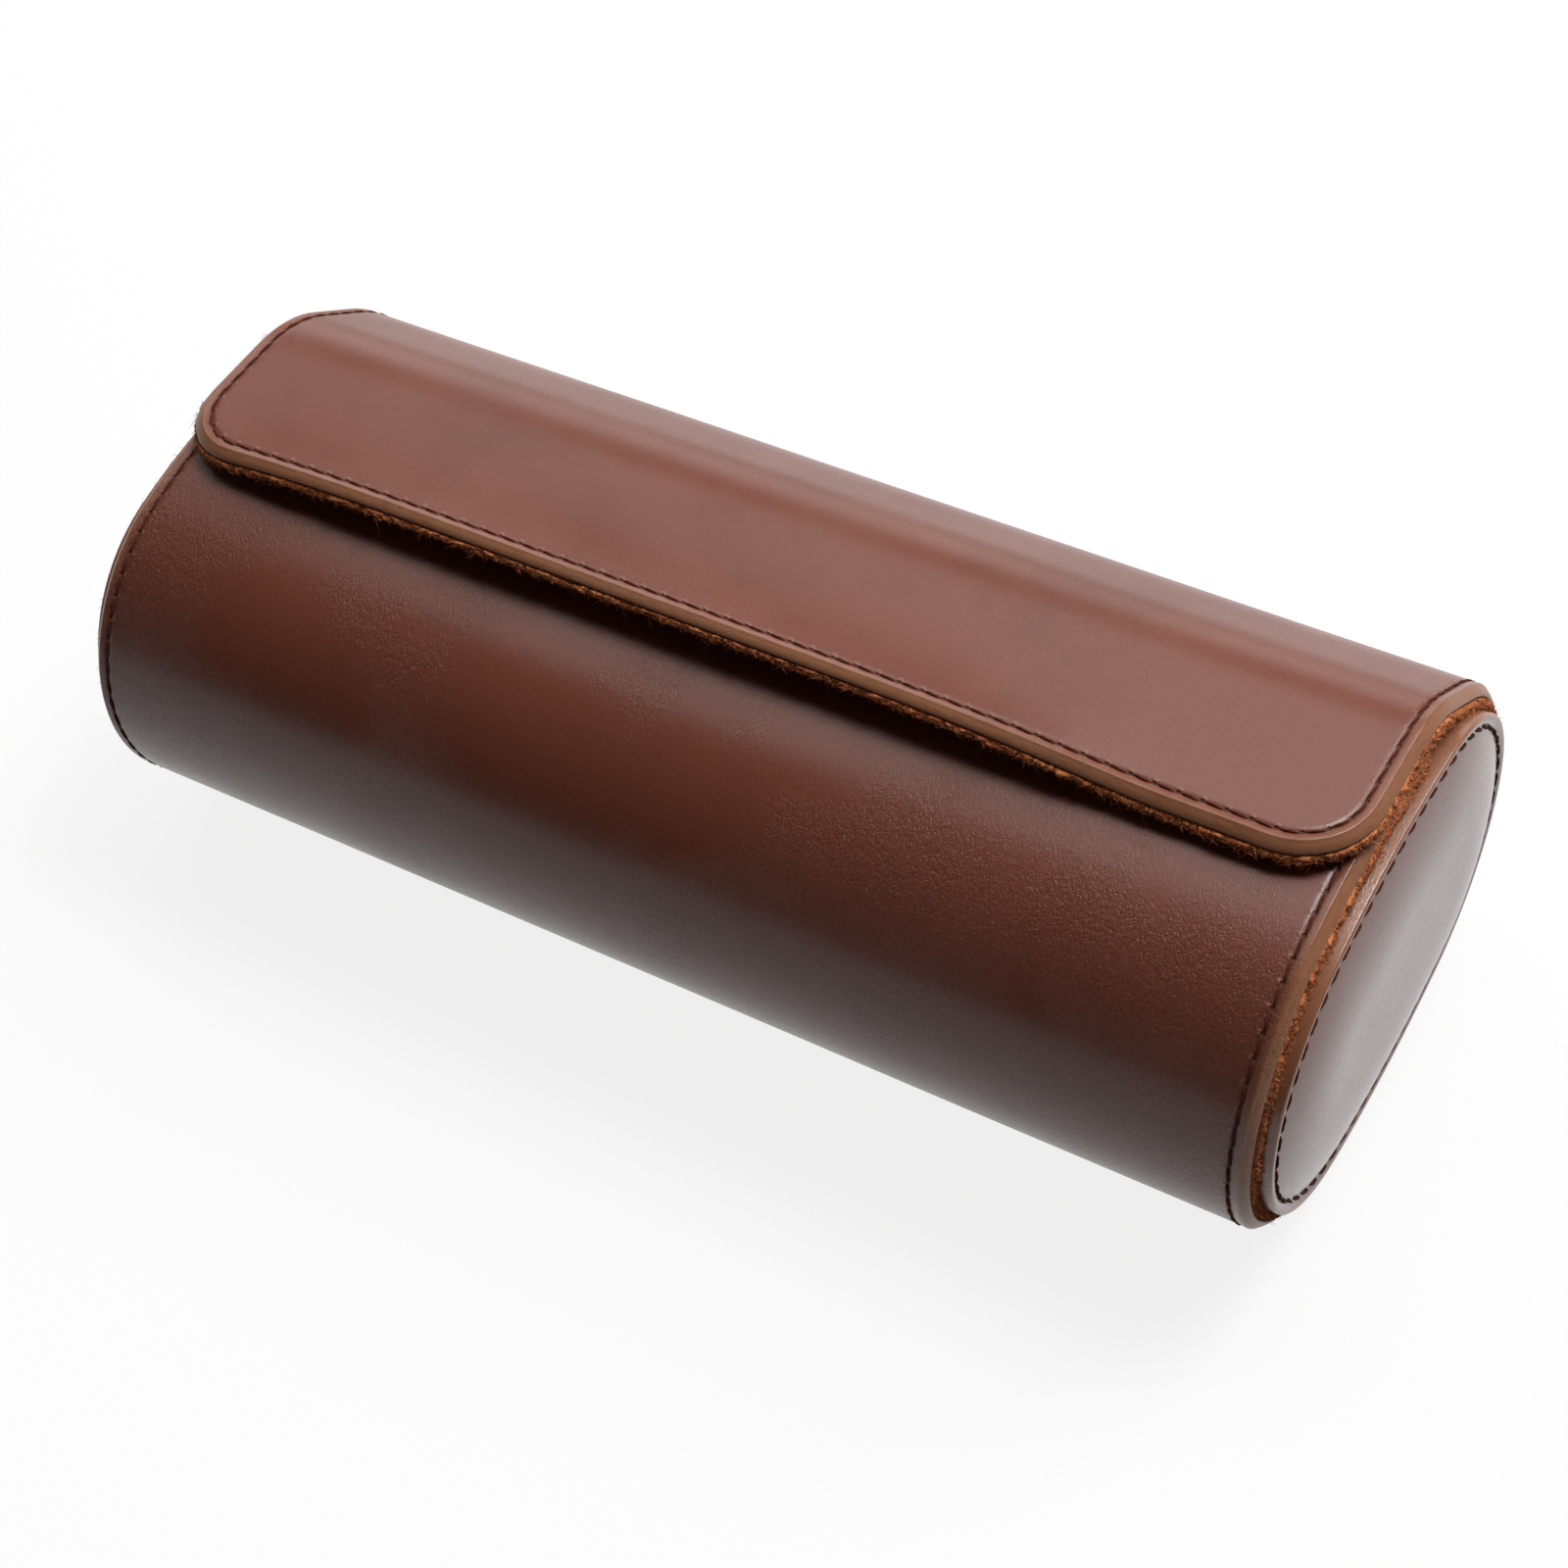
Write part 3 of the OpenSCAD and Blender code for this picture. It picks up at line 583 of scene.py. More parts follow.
class Path:
    """A line across the roll made of arcs and straights, measured from the middle of the foot."""

    def __init__(self, oval, front, sizes):
        """The front line runs under the front and over it to the lip; the back line runs up the back
        shoulder, leaves it for the flap's bend and runs straight to the flap's front edge."""
        self.oval, self.front, self.sizes = oval, front, sizes
        bottom = math.pi / 2 - oval.join
        sense = -1.0 if front else 1.0
        start = -math.pi / 2
        crown = Arc(0.0, oval.crown_z, oval.crown_r, start, sense, oval.crown_r * bottom)
        side = -oval.arc_y if front else oval.arc_y
        begin = start + sense * bottom
        hinge_turn = oval.join + sizes.hinge
        self.fold = crown.run + oval.shoulder_r * hinge_turn
        if front:
            shoulder = Arc(side, 0.0, oval.shoulder_r, begin, sense, oval.shoulder_r * 2 * oval.join)
            last = begin + sense * 2 * oval.join
            lip = math.acos(sizes.lip_reach / oval.crown_r) - 2 * math.pi
            over = Arc(0.0, -oval.crown_z, oval.crown_r, last, sense, oval.crown_r * (last - lip))
            self.arcs = [crown, shoulder, over]
        else:
            shoulder = Arc(side, 0.0, oval.shoulder_r, begin, sense,
                           oval.shoulder_r * (oval.join + sizes.leave))
            self.arcs = [crown, shoulder]
            way = np.array([math.cos(sizes.leave), math.sin(sizes.leave)])
            foot_of_bend = np.array(oval.bend) + sizes.bend_r * way
            leaves = np.array([oval.arc_y, 0]) + oval.shoulder_r * way
            straight = float(np.linalg.norm(foot_of_bend - leaves))
            self.arcs.append(Arc(*leaves, None, sizes.leave, 1.0, straight))
            turn = oval.flat - sizes.leave
            self.bow_from = sum(arc.run for arc in self.arcs)
            self.arcs.append(Arc(*oval.bend, sizes.bend_r, sizes.leave, 1.0, sizes.bend_r * turn))
            up = np.array([math.cos(oval.flat), math.sin(oval.flat)])
            flat_from = np.array(oval.bend) + sizes.bend_r * up
            run = (flat_from[0] + sizes.flap_reach) / math.sin(oval.flat)
            self.arcs.append(Arc(*flat_from, None, oval.flat, 1.0, run))
        self.end = sum(arc.run for arc in self.arcs)

    def place(self, x, s, depth):
        """Points of the roll at a place x along it, a distance s along the line and a depth below it.
        On an arc the angle is its start plus s over the radius and the point lies along it from the centre;
        on a straight the point moves along the tangent. Depth goes against the outward normal."""
        x, s, depth = np.broadcast_arrays(x, s, depth)
        depth = depth - self.bow(x, s)
        y, z, begin = np.zeros(s.shape), np.zeros(s.shape), 0.0
        for number, (cy, cz, radius, a0, sense, run) in enumerate(self.arcs):
            t = s - begin
            if radius is None:
                arc_y = cy - sense * t * math.sin(a0) - depth * math.cos(a0)
                arc_z = cz + sense * t * math.cos(a0) - depth * math.sin(a0)
            else:
                a = a0 + sense * t / radius
                arc_y = cy + (radius - depth) * np.cos(a)
                arc_z = cz + (radius - depth) * np.sin(a)
            here = (t >= 0) if number else np.ones(s.shape, bool)
            y, z = np.where(here, arc_y, y), np.where(here, arc_z, z)
            begin += run
        return np.stack([x, y, np.maximum(z + self.oval.middle_z, 0.0)], -1)

    def bow(self, x, s):
        """How far the flap stands up from its line: a rounded hump along x, one less the cube of the distance
        from its middle, times the fifth power of the share of the way from the bend to the edge."""
        if self.front:
            return 0.0
        along = np.clip(1 - np.abs((x + self.sizes.bow_x) / self.sizes.bow_half) ** 3, 0, 1)
        share = np.clip((s - self.bow_from) / (self.end - self.bow_from), 0, 1.05)
        return self.sizes.bow * along * along * (3 - 2 * along) * share ** 5

    def signed(self, s):
        """Distance across the whole unrolled leather, negative on the front half."""
        return -s if self.front else s


class Outline:
    """The edge of a sheet in flat coordinates (x, s): up one side, round a corner, along the front edge
    and back, as points at a band's width inside the cut edge, each with its outward direction."""

    def __init__(self, half_x, end, corner, band, cell):
        self.half_x, self.end, self.corner, self.band = half_x, end, corner, band
        side = np.linspace(0.0, end - corner, max(2, int((end - corner) / cell)))
        turn = np.linspace(0, math.pi / 2, 9)[1:]
        self.rows = np.concatenate([side, end - corner + (corner - band) * np.sin(turn)])
        widths = np.full(len(side), half_x - band)
        self.widths = np.concatenate([widths, half_x - corner + (corner - band) * np.cos(turn)])
        self.columns = np.linspace(-1.0, 1.0, 2 * int(half_x / (2 * cell)) + 1)
        out_x = np.concatenate([np.ones(len(side)), np.cos(turn)])
        out_s = np.concatenate([np.zeros(len(side)), np.sin(turn)])
        inner = self.columns[1:-1] * (half_x - corner)
        self.x = np.concatenate([-self.widths, inner, self.widths[::-1]])
        self.s = np.concatenate([self.rows, np.full(len(inner), end - band), self.rows[::-1]])
        self.out_x = np.concatenate([-out_x, np.zeros(len(inner)), out_x[::-1]])
        self.out_s = np.concatenate([out_s, np.ones(len(inner)), out_s[::-1]])

    def at(self, inset):
        """The outline at an inset from the cut edge: each point moved along its outward direction."""
        return (self.x + self.out_x * (self.band - inset), self.s + self.out_s * (self.band - inset))

    def along(self, inset):
        """Distance along the outline at an inset: the running sum of the steps between its points."""
        x, s = self.at(inset)
        return np.concatenate([[0.0], np.cumsum(np.hypot(np.diff(x), np.diff(s)))])

    def walk(self, distance, inset):
        """Flat point and outward direction at a distance along the outline at an inset, by linear steps."""
        run = self.along(inset)
        x, s = self.at(inset)
        return [np.interp(distance, run, v) for v in (x, s, self.out_x, self.out_s)]

    def inset_of(self, x, s):
        """Distance in from the cut edge of the rounded sheet, as for a rounded oblong."""
        dx = np.abs(x) - (self.half_x - self.corner)
        ds = s - (self.end - self.corner)
        outside = np.hypot(np.maximum(dx, 0), np.maximum(ds, 0)) + np.minimum(np.maximum(dx, ds), 0)
        return self.corner - outside


def wave(x, s, sizes):
    """Slow unevenness of the whole sheet: a sum of sines of x and s with lengths from 25 to 90 mm."""
    u, v = x / (30 * MM), s / (26 * MM)
    return sizes.wave * (np.sin(u + 0.7 * np.sin(v)) * np.cos(0.8 * v + 0.4)
                         + 0.5 * np.sin(2.1 * u + 1.3 * v) + 0.4 * np.sin(0.9 * u - 2.3 * v + 1.1)) / 1.6


def sheet_piece(name, path, outline, sizes, stitch, profile, face_depth, back_depth, finish):
    """A closed sheet of leather or suede on the roll: a grid of rows and columns on its face and its back,
    joined by a band whose cross-section, a list of (inset, depth), goes over the cut edge."""
    rows, columns = len(outline.rows), len(outline.columns)
    x = outline.widths[:, None] * outline.columns[None, :]
    s = np.repeat(outline.rows[:, None], columns, axis=1)
    insets, depths = np.array(profile).T
    ring_n = len(outline.x)
    ring = np.array([outline.at(e) for e in insets[1:-1]])
    flat_x = np.concatenate([x.ravel(), ring[:, 0].ravel(), x.ravel()])
    flat_s = np.concatenate([s.ravel(), ring[:, 1].ravel(), s.ravel()])
    level_n = len(insets) - 2
    depth = np.concatenate([face_depth(x, s).ravel(), np.repeat(depths[1:-1], ring_n),
                            back_depth(x, s).ravel()])
    along = np.concatenate([np.zeros(x.size), np.tile(outline.along(stitch.inset), level_n),
                            np.zeros(x.size)])
    number = np.arange(rows * columns).reshape(rows, columns)
    border = np.concatenate([number[:, 0], number[-1, 1:-1], number[::-1, -1]])
    along[border] = outline.along(stitch.inset)
    last = x.size + ring_n * level_n
    between = x.size + np.arange(ring_n * level_n).reshape(-1, ring_n)
    levels = np.concatenate([border[None, :], between, border[None, :] + last])
    strip = grid_faces(len(insets), ring_n)
    face = grid_faces(rows, columns)
    faces = np.concatenate([face, levels.ravel()[strip], face + last])
    cap = np.concatenate([number[0, 1:-1], levels[:, -1], number[0, 1:-1][::-1] + last, levels[::-1, 0]])
    points = path.place(flat_x, flat_s, depth - wave(flat_x, path.signed(flat_s), sizes))
    inset = outline.inset_of(flat_x, flat_s)
    layers = {"sheet": np.stack([flat_x, path.signed(flat_s), depth], -1),
              "edge": np.stack([along, inset, np.zeros_like(inset)], -1)}
    return new_piece(name, points, faces, finish, layers, [cap])


def leather_profile(sizes, stitch):
    """Cross-section of the leather's edge: level, pulled in along the stitches as a bell curve, a low ridge,
    the burnished bevel given as shares of its width, and a small quarter turn to the back."""
    face = np.array([7.0, 6.0, 5.0, 4.4, 4.0, 3.7, 3.5, 3.3, 3.1, 2.9, 2.6, 2.2]) * MM
    dip = stitch.groove * np.exp(-((face - stitch.inset) / stitch.groove_w) ** 2)
    shares = ((1.25, -0.02), (1.12, -0.045), (1.0, -0.01), (0.9, 0.09),
              (0.6, 0.32), (0.3, 0.62), (0.1, 0.88), (0.0, 1.08))
    round_over = [(sizes.bevel * e, sizes.bevel * d) for e, d in shares]
    back = [(sizes.back_r * (1 - math.cos(a)), sizes.leather_t - sizes.back_r * (1 - math.sin(a)))
            for a in np.linspace(0, math.pi / 2, 4)]
    behind = [(e, sizes.leather_t) for e in face[::-4]] + [(sizes.band, sizes.leather_t)]
    return list(zip(face, dip)) + round_over + back + behind[1:]


def lining_profile(sizes):
    """Cross-section of the lining's edge: square cut with slightly rounded corners."""
    top, low = sizes.leather_t, sizes.leather_t + sizes.lining_t
    r = 0.3 * MM
    return [(sizes.band, top), (3 * MM, top), (r, top), (0.09 * MM, top + 0.09 * MM), (0.0, top + r),
            (0.0, (top + low) / 2), (0.0, low - r), (0.09 * MM, low - 0.09 * MM), (r, low),
            (3 * MM, low), (sizes.band, low)]


def board_step(path, sizes):
    """Extra depth of the lining over the board: 0 on the border and the fold strips, the board's thickness
    elsewhere, with a smooth step as wide as the lining is thick."""
    def lift(x, s):
        end = path.fold - sizes.hinge_band
        side = (sizes.wrap_l / 2 - sizes.border - np.abs(x)) / sizes.lining_t + 1
        far = (end - s) / sizes.lining_t + 1
        t = np.clip(np.minimum(side, far), 0, 1)
        return sizes.board_t * t * t * (3 - 2 * t)
    return lift


def halves(sizes):
    """The two halves of the unrolled wrap, each with its line, its corner radius and the name of the body it
    belongs to.
    """
    oval = Oval(sizes)
    for name, front, corner, body in (("front", True, sizes.lip_corner, "front_panel"),
                                      ("back", False, sizes.flap_corner, "flap")):
        path = Path(oval, front, sizes)
        outline = Outline(sizes.wrap_l / 2, path.end, corner, sizes.band, 2.2 * MM)
        yield name, path, outline, body


def declare_sheet(path, corner, sizes):
    """Works out the area of the flat piece a sheet was cut from, an oblong less what its two rounded corners
    lose, and leaves it unused.
    """
    width = sizes.wrap_l
    width * path.end - 2 * (1 - math.pi / 4) * corner ** 2


def bend_at_fold(piece, path, body, sizes):
    """Works out a band about the fold line between the case and the flap or front panel but leaves it unused;
    only bakes the piece's transform into its mesh.
    """
    a, b, before = (path.place(0.0, path.fold + d, 0.0) for d in (-MM, MM, 0.0))
    way = (b - a) / np.linalg.norm(b - a)
    tuple(before - way * sizes.bend_before)
    tuple(before + way * sizes.bend_after)
    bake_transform(piece)


def tube(centre, side, up, radius, sides, twist=None):
    """Tubes swept along many lines at once: centre, side and up are arrays (tube, station, 3). Each ring's
    point is the centre plus the radius times cosine along side and sine along up; twist turns a two-lobed
    section along the thread. Returns points (tube, station, sides, 3)."""
    turn = np.linspace(0, 2 * math.pi, sides, endpoint=False)
    r = np.broadcast_to(np.asarray(radius)[..., None], (*centre.shape[:2], sides))
    if twist is not None:
        r = r * (1 + 0.2 * np.cos(2 * (turn - twist[..., None])))
    return (centre[:, :, None, :] + (r * np.cos(turn))[..., None] * side[:, :, None, :]
            + (r * np.sin(turn))[..., None] * up[:, :, None, :])


def tube_faces(tubes, stations, sides):
    """Quads of many equal tubes and one cap at each of their ends."""
    one = grid_faces(stations, sides, True)
    start = np.arange(tubes)[:, None, None] * stations * sides
    first = np.arange(sides)[None, ::-1] + np.arange(tubes)[:, None] * stations * sides
    last = np.arange(sides)[None, :] + np.arange(tubes)[:, None] * stations * sides + (stations - 1) * sides
    return (one[None] + start).reshape(-1, 4), np.concatenate([first, last]).tolist()


def frames(centre, normal):
    """Side and up directions along lines: side is the cross of the line's way and the surface normal, up the
    cross of side and way."""
    way = np.gradient(centre, axis=1)
    way /= np.linalg.norm(way, axis=-1, keepdims=True)
    side = np.cross(way, normal)
    side /= np.linalg.norm(side, axis=-1, keepdims=True)
    return side, np.cross(side, way)


def stitch_lines(count, stitch):
    """Along, across and down for each stitch of a row, at nine stations: it runs from hole to hole, slants
    across its line, stands proud in the middle and dives at both ends as the fifth power of the distance."""
    t = np.linspace(-1, 1, 9)[None, :]
    half_length = stitch.pitch * 0.47
    along = (np.arange(count)[:, None] + 0.5) * stitch.pitch + t * half_length
    across = np.repeat(stitch.slant * t, count, axis=0)
    proud = stitch.proud + stitch.thread * 0.32
    down = np.repeat(-proud + (stitch.sink + proud) * np.abs(t) ** 5, count, axis=0)
    return along, across, down


def stitch_tubes(centre, normal, along, stitch):
    """Twisted, slightly tapered tubes of thread round the lines of the stitches."""
    side, up = frames(centre, normal)
    turns, phase_per_m, taper, sides = 1.1, 900, 0.35, 8
    twist = np.linspace(0, turns * 2 * math.pi, centre.shape[1])[None, :] + along[:, :1] * phase_per_m
    narrow = 1 - taper * np.linspace(-1, 1, centre.shape[1]) ** 4
    radius = np.broadcast_to(stitch.thread / 2 * narrow, centre.shape[:2])
    return tube(centre, side, up, radius, sides, twist)


def sheet_stitches(path, outline, sizes, stitch, depth, outward):
    """Stitches along a sheet's edge, on its face or on its lining: flat lines that are put on the roll."""
    total = outline.along(stitch.inset)[-1]
    along, across, down = stitch_lines(int(total / stitch.pitch), stitch)
    x, s, out_x, out_s = outline.walk(along, stitch.inset)
    x, s = x + out_x * across, s + out_s * across
    at = depth + outward * (down + (stitch.groove if outward > 0 else 0.0))
    rise = wave(x, path.signed(s), sizes)
    centre = path.place(x, s, at - rise)
    normal = path.place(x, s, at - rise - outward * MM) - centre
    return stitch_tubes(centre, normal, along, stitch)


def thread_piece(name, points, finish):
    """One mesh of many stitches."""
    tubes, stations, sides = points.shape[:3]
    faces, caps = tube_faces(tubes, stations, sides)
    return new_piece(name, points, faces, finish, None, caps)


def edge_nap(path, outline, sizes, seed):
    """The rough cut edge of the lining: a strip along the edge whose rounded section is pushed in and out by
    two layers of random steps, one fine and one smoothed over five stations. Gives points as one tube."""
    chance = np.random.default_rng(seed)
    total = outline.along(0.0)[-1]
    run = np.arange(0.0, total, 0.38 * MM)[:, None]
    top, low = sizes.leather_t, sizes.leather_t + sizes.lining_t
    section = np.array([(0.9, top + 0.1 * MM), (0.0, top), (-0.3, top + 0.25 * MM),
                        (-0.42, (top * 3 + low * 2) / 5), (-0.45, (top * 2 + low * 3) / 5),
                        (-0.35, low - 0.3 * MM), (0.0, low), (0.9, low - 0.1 * MM)])
    rough = chance.normal(0, 1, (len(run), len(section)))
    slow = chance.normal(0, 1, rough.shape)
    smooth = sum(np.roll(slow, k, 0) for k in range(-2, 3)) / 2.2
    outer = np.where(section[:, 0] < 0.5, 1.0, 0.0)
    out = (-section[:, 0] + outer * (0.17 * rough + 0.24 * smooth)) * MM
    x, s, out_x, out_s = outline.walk(np.repeat(run, len(section), 1), 0.0)
    x, s = x + out_x * out, s + out_s * out
    depth = section[:, 1] + outer * 0.05 * MM * np.roll(rough, 3, 0)
    return path.place(x, s, depth - wave(x, path.signed(s), sizes))[None]


def edge_fibres(path, outline, sizes, per_mm, seed):
    """Short curled fibres that stand out of the lining's cut edge: each starts at a random place and depth,
    heads outwards with a random lean and curls as the square of its length. Also the fibres' tones, paler
    towards their tips."""
    chance = np.random.default_rng(seed)
    total = outline.along(0.0)[-1]
    count = int(total / MM * per_mm)
    stations, sides = 4, 3
    t = np.linspace(0, 1, stations)[None, :]
    along = chance.uniform(0, total, (count, 1))
    depth = sizes.leather_t + chance.uniform(0.05, 0.95, (count, 1)) * sizes.lining_t
    reach = chance.gamma(3.0, 0.18, (count, 1)) * MM + 0.25 * MM
    lean, curl = chance.normal(0, 0.55, (count, 1)), chance.normal(0, 0.8, (count, 1))
    droop, fall = chance.normal(0.12, 0.35, (count, 1)), chance.normal(0.1, 0.5, (count, 1))
    x, s, out_x, out_s = outline.walk(np.repeat(along, stations, 1) + reach * (lean * t + curl * t ** 2), 0.0)
    out = reach * t * np.sqrt(1 / (1 + lean ** 2)) + 0.1 * MM
    x, s = x + out_x * out, s + out_s * out
    at = np.clip(depth + reach * (droop * t + fall * t ** 2), sizes.leather_t - 0.1 * MM, None)
    centre = path.place(x, s, at - wave(x, path.signed(s), sizes))
    normal = path.place(x, s, at - MM) - path.place(x, s, at)
    side, up = frames(centre, normal)
    radius = chance.uniform(0.05, 0.11, (count, 1)) * MM * (1 - 0.8 * t)
    points = tube(centre, side, up, radius, sides)
    tone = chance.uniform(0.15, 1.0, (count, 1)) * np.linspace(0.6, 1.0, stations)[None, :]
    return points, np.repeat(tone, sides).reshape(count, stations, sides)


def oval_stack(name, oval, profile, finish, side):
    """A closed piece made of ovals at the (inset, x) of a profile, on one side of the roll and flat-ended."""
    rings = [np.column_stack([np.full(len(r), x * side), r[:, 0], r[:, 1] + oval.middle_z])
             for e, x in profile for r in [oval.ring(e)]]
    points = np.stack(rings)
    n = points.shape[1]
    insets = np.repeat([e for e, _ in profile], n)
    layers = {"edge": np.stack([np.zeros_like(insets), insets, np.zeros_like(insets)], -1)}
    caps = [range(n), range(n * (len(profile) - 1), n * len(profile))]
    return new_piece(name, points, grid_faces(len(profile), n, True), finish, layers, caps)


def crown_place(inset, ends, sizes):
    """Place of the padded crown: from the groove's floor it rises by the crown's height, fast and then level,
    as one minus a power of the distance still to go."""
    groove = ends.inset + ends.rim_w
    fullness = 2.6
    t = np.clip((inset - groove) / ends.crown_run, 0, 1)
    rim = sizes.wrap_l / 2 + ends.rim_h
    floor = rim - ends.groove
    return floor + (ends.crown_h - ends.rim_h + ends.groove) * (1 - (1 - t) ** fullness)


def dome_piece(name, oval, ends, sizes, finish, side, outer, inner):
    """A padded dish: its outer rings given as (inset, x), its crown from the groove to the middle as the
    groove's ring shrunk in steps, each point lifted by its own inset, and an inner skin below it."""
    groove = oval.ring(ends.inset + ends.rim_w)
    steps, crowding = 34, 1.35
    shares = 1 - np.linspace(0, 1, steps)[1:-1] ** crowding
    skins = []
    for rings, drop in ((outer, 0.0), (inner, ends.cover_t)):
        level = [np.column_stack([np.full(len(groove), x), oval.ring(e)]) for e, x in rings]
        crown = []
        for p in (groove * k for k in shares):
            lifted = crown_place(oval.inset_of(p[:, 0], p[:, 1]), ends, sizes) - drop
            crown.append(np.column_stack([lifted, p]))
        skins.append((level, crown))
    stack = skins[1][1][::-1] + skins[1][0][::-1] + skins[0][0] + skins[0][1]
    points = np.stack(stack)
    insets = oval.inset_of(points[..., 1], points[..., 2]).ravel()
    points = points * [side, 1, 1] + [0, 0, oval.middle_z]
    n = points.shape[1]
    layers = {"edge": np.stack([np.zeros_like(insets), insets, np.zeros_like(insets)], -1)}
    poles = np.array([[(crown_place(1.0, ends, sizes) - drop) * side, 0, oval.middle_z]
                      for drop in (ends.cover_t, 0.0)])
    faces = grid_faces(len(stack), n, True)
    count = points.size // 3
    around = np.arange(n)
    fans = np.concatenate([np.stack([np.full(n, count + k), start + around, start + (around + 1) % n], -1)
                           for k, start in ((0, 0), (1, count - n))])
    layers["edge"] = np.concatenate([layers["edge"], np.full((2, 3), 0.03)])
    points = np.concatenate([points.reshape(-1, 3), poles])
    return new_piece(name, points, faces, finish, layers, fans.tolist())


def lathe(name, profile, origin, tilt, finish):
    """A round piece: the profile (radius, height) turned about an axis that leans by tilt about X."""
    steps = 64
    turn = np.linspace(0, 2 * math.pi, steps, endpoint=False)
    r, h = np.array(profile).T
    x, y, z = r[:, None] * np.cos(turn), r[:, None] * np.sin(turn), np.repeat(h[:, None], steps, 1)
    c, s = math.cos(tilt), math.sin(tilt)
    turned = np.stack([x, y * c - z * s, y * s + z * c], -1)
    caps = [range(steps), range(steps * (len(r) - 1), steps * len(r))]
    return new_piece(name, turned + np.array(origin), grid_faces(len(r), steps, True), finish, None, caps)


class ROLL_OT_finishes(bpy.types.Operator):
    """Make the finishes of the leather, suede, thread, foam, board and brass"""

    bl_idname = "roll.finishes"
    bl_label = "Finishes"

    def execute(self, context):
        scene = context.scene
        colours = scene.roll_colours
        wrap_leather_material(colours, scene.roll_stitch)
        end_leather_material(colours, scene.roll_ends)
        suede_material("lining_suede", colours.suede, colours.suede_dark, True)
        suede_material("tan_suede", colours.pillow, colours.pillow_dark, False)
        # The cut suede uses the brightened suede colour, painted light that offsets the shade under the flap.
        suede_material("cut_suede", colours.nap, colours.suede_dark, False)
        fibre_material(colours)
        thread_material(colours)
        board_material(colours)
        foam_material(colours)
        brass_material(colours)
        return {"FINISHED"}


class ROLL_OT_leather(bpy.types.Operator):
    """Build the outer leather as a front and a back half that meet under the roll"""

    bl_idname = "roll.leather"
    bl_label = "Outer leather"

    def execute(self, context):
        sizes, stitch = context.scene.roll_sizes, context.scene.roll_stitch
        for name, path, outline, body in halves(sizes):
            profile = leather_profile(sizes, stitch)
            piece = sheet_piece("leather_" + name, path, outline, sizes, stitch, profile,
                                lambda x, s: np.zeros_like(x), lambda x, s: np.full_like(x, sizes.leather_t),
                                material("chestnut_leather"))
            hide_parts(*("front_panel_leather",) if path.front else ("wrap_leather", "flap_leather"))
            declare_sheet(path, outline.corner, sizes)
            bend_at_fold(piece, path, body, sizes)
        return {"FINISHED"}


class ROLL_OT_lining(bpy.types.Operator):
    """Build the suede lining and the fibres of its cut edge"""

    bl_idname = "roll.lining"
    bl_label = "Suede lining"

    def execute(self, context):
        sizes, stitch = context.scene.roll_sizes, context.scene.roll_stitch
        for seed, (name, path, outline, body) in enumerate(halves(sizes)):
            lift = board_step(path, sizes)
            under = sizes.leather_t
            piece = sheet_piece("lining_" + name, path, outline, sizes, stitch, lining_profile(sizes),
                                lambda x, s: under + lift(x, s),
                                lambda x, s: under + sizes.lining_t + lift(x, s), material("lining_suede"))
            soften_angles(piece, 50)
            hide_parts(*("front_panel_lining",) if path.front else ("wrap_lining", "flap_lining"))
            declare_sheet(path, outline.corner, sizes)
            bend_at_fold(piece, path, body, sizes)
            nap = edge_nap(path, outline, sizes, 20 + seed)
            faces, caps = tube_faces(*nap.shape[:3])
            strip = new_piece("lining_edge_" + name, nap, faces, material("cut_suede"), None, caps)
            bend_at_fold(strip, path, body, sizes)
            points, tone = edge_fibres(path, outline, sizes, 12.0, 40 + seed)
            faces, caps = tube_faces(*points.shape[:3])
            fibres = new_piece("lining_fibres_" + name, points, faces, material("suede_fibre"),
                               {"tone": np.repeat(tone.reshape(-1, 1), 3, 1)}, caps)
            bend_at_fold(fibres, path, body, sizes)
        return {"FINISHED"}


class ROLL_OT_stitching(bpy.types.Operator):
    """Sew the leather to the lining along every edge"""

    bl_idname = "roll.stitching"
    bl_label = "Stitching"

    def execute(self, context):
        sizes, stitch = context.scene.roll_sizes, context.scene.roll_stitch
        for name, path, outline, body in halves(sizes):
            rows = [sheet_stitches(path, outline, sizes, stitch, 0.0, 1.0),
                    sheet_stitches(path, outline, sizes, stitch, sizes.leather_t + sizes.lining_t, -1.0)]
            piece = thread_piece("thread_" + name, np.concatenate(rows), material("waxed_thread"))
            bend_at_fold(piece, path, body, sizes)
        return {"FINISHED"}


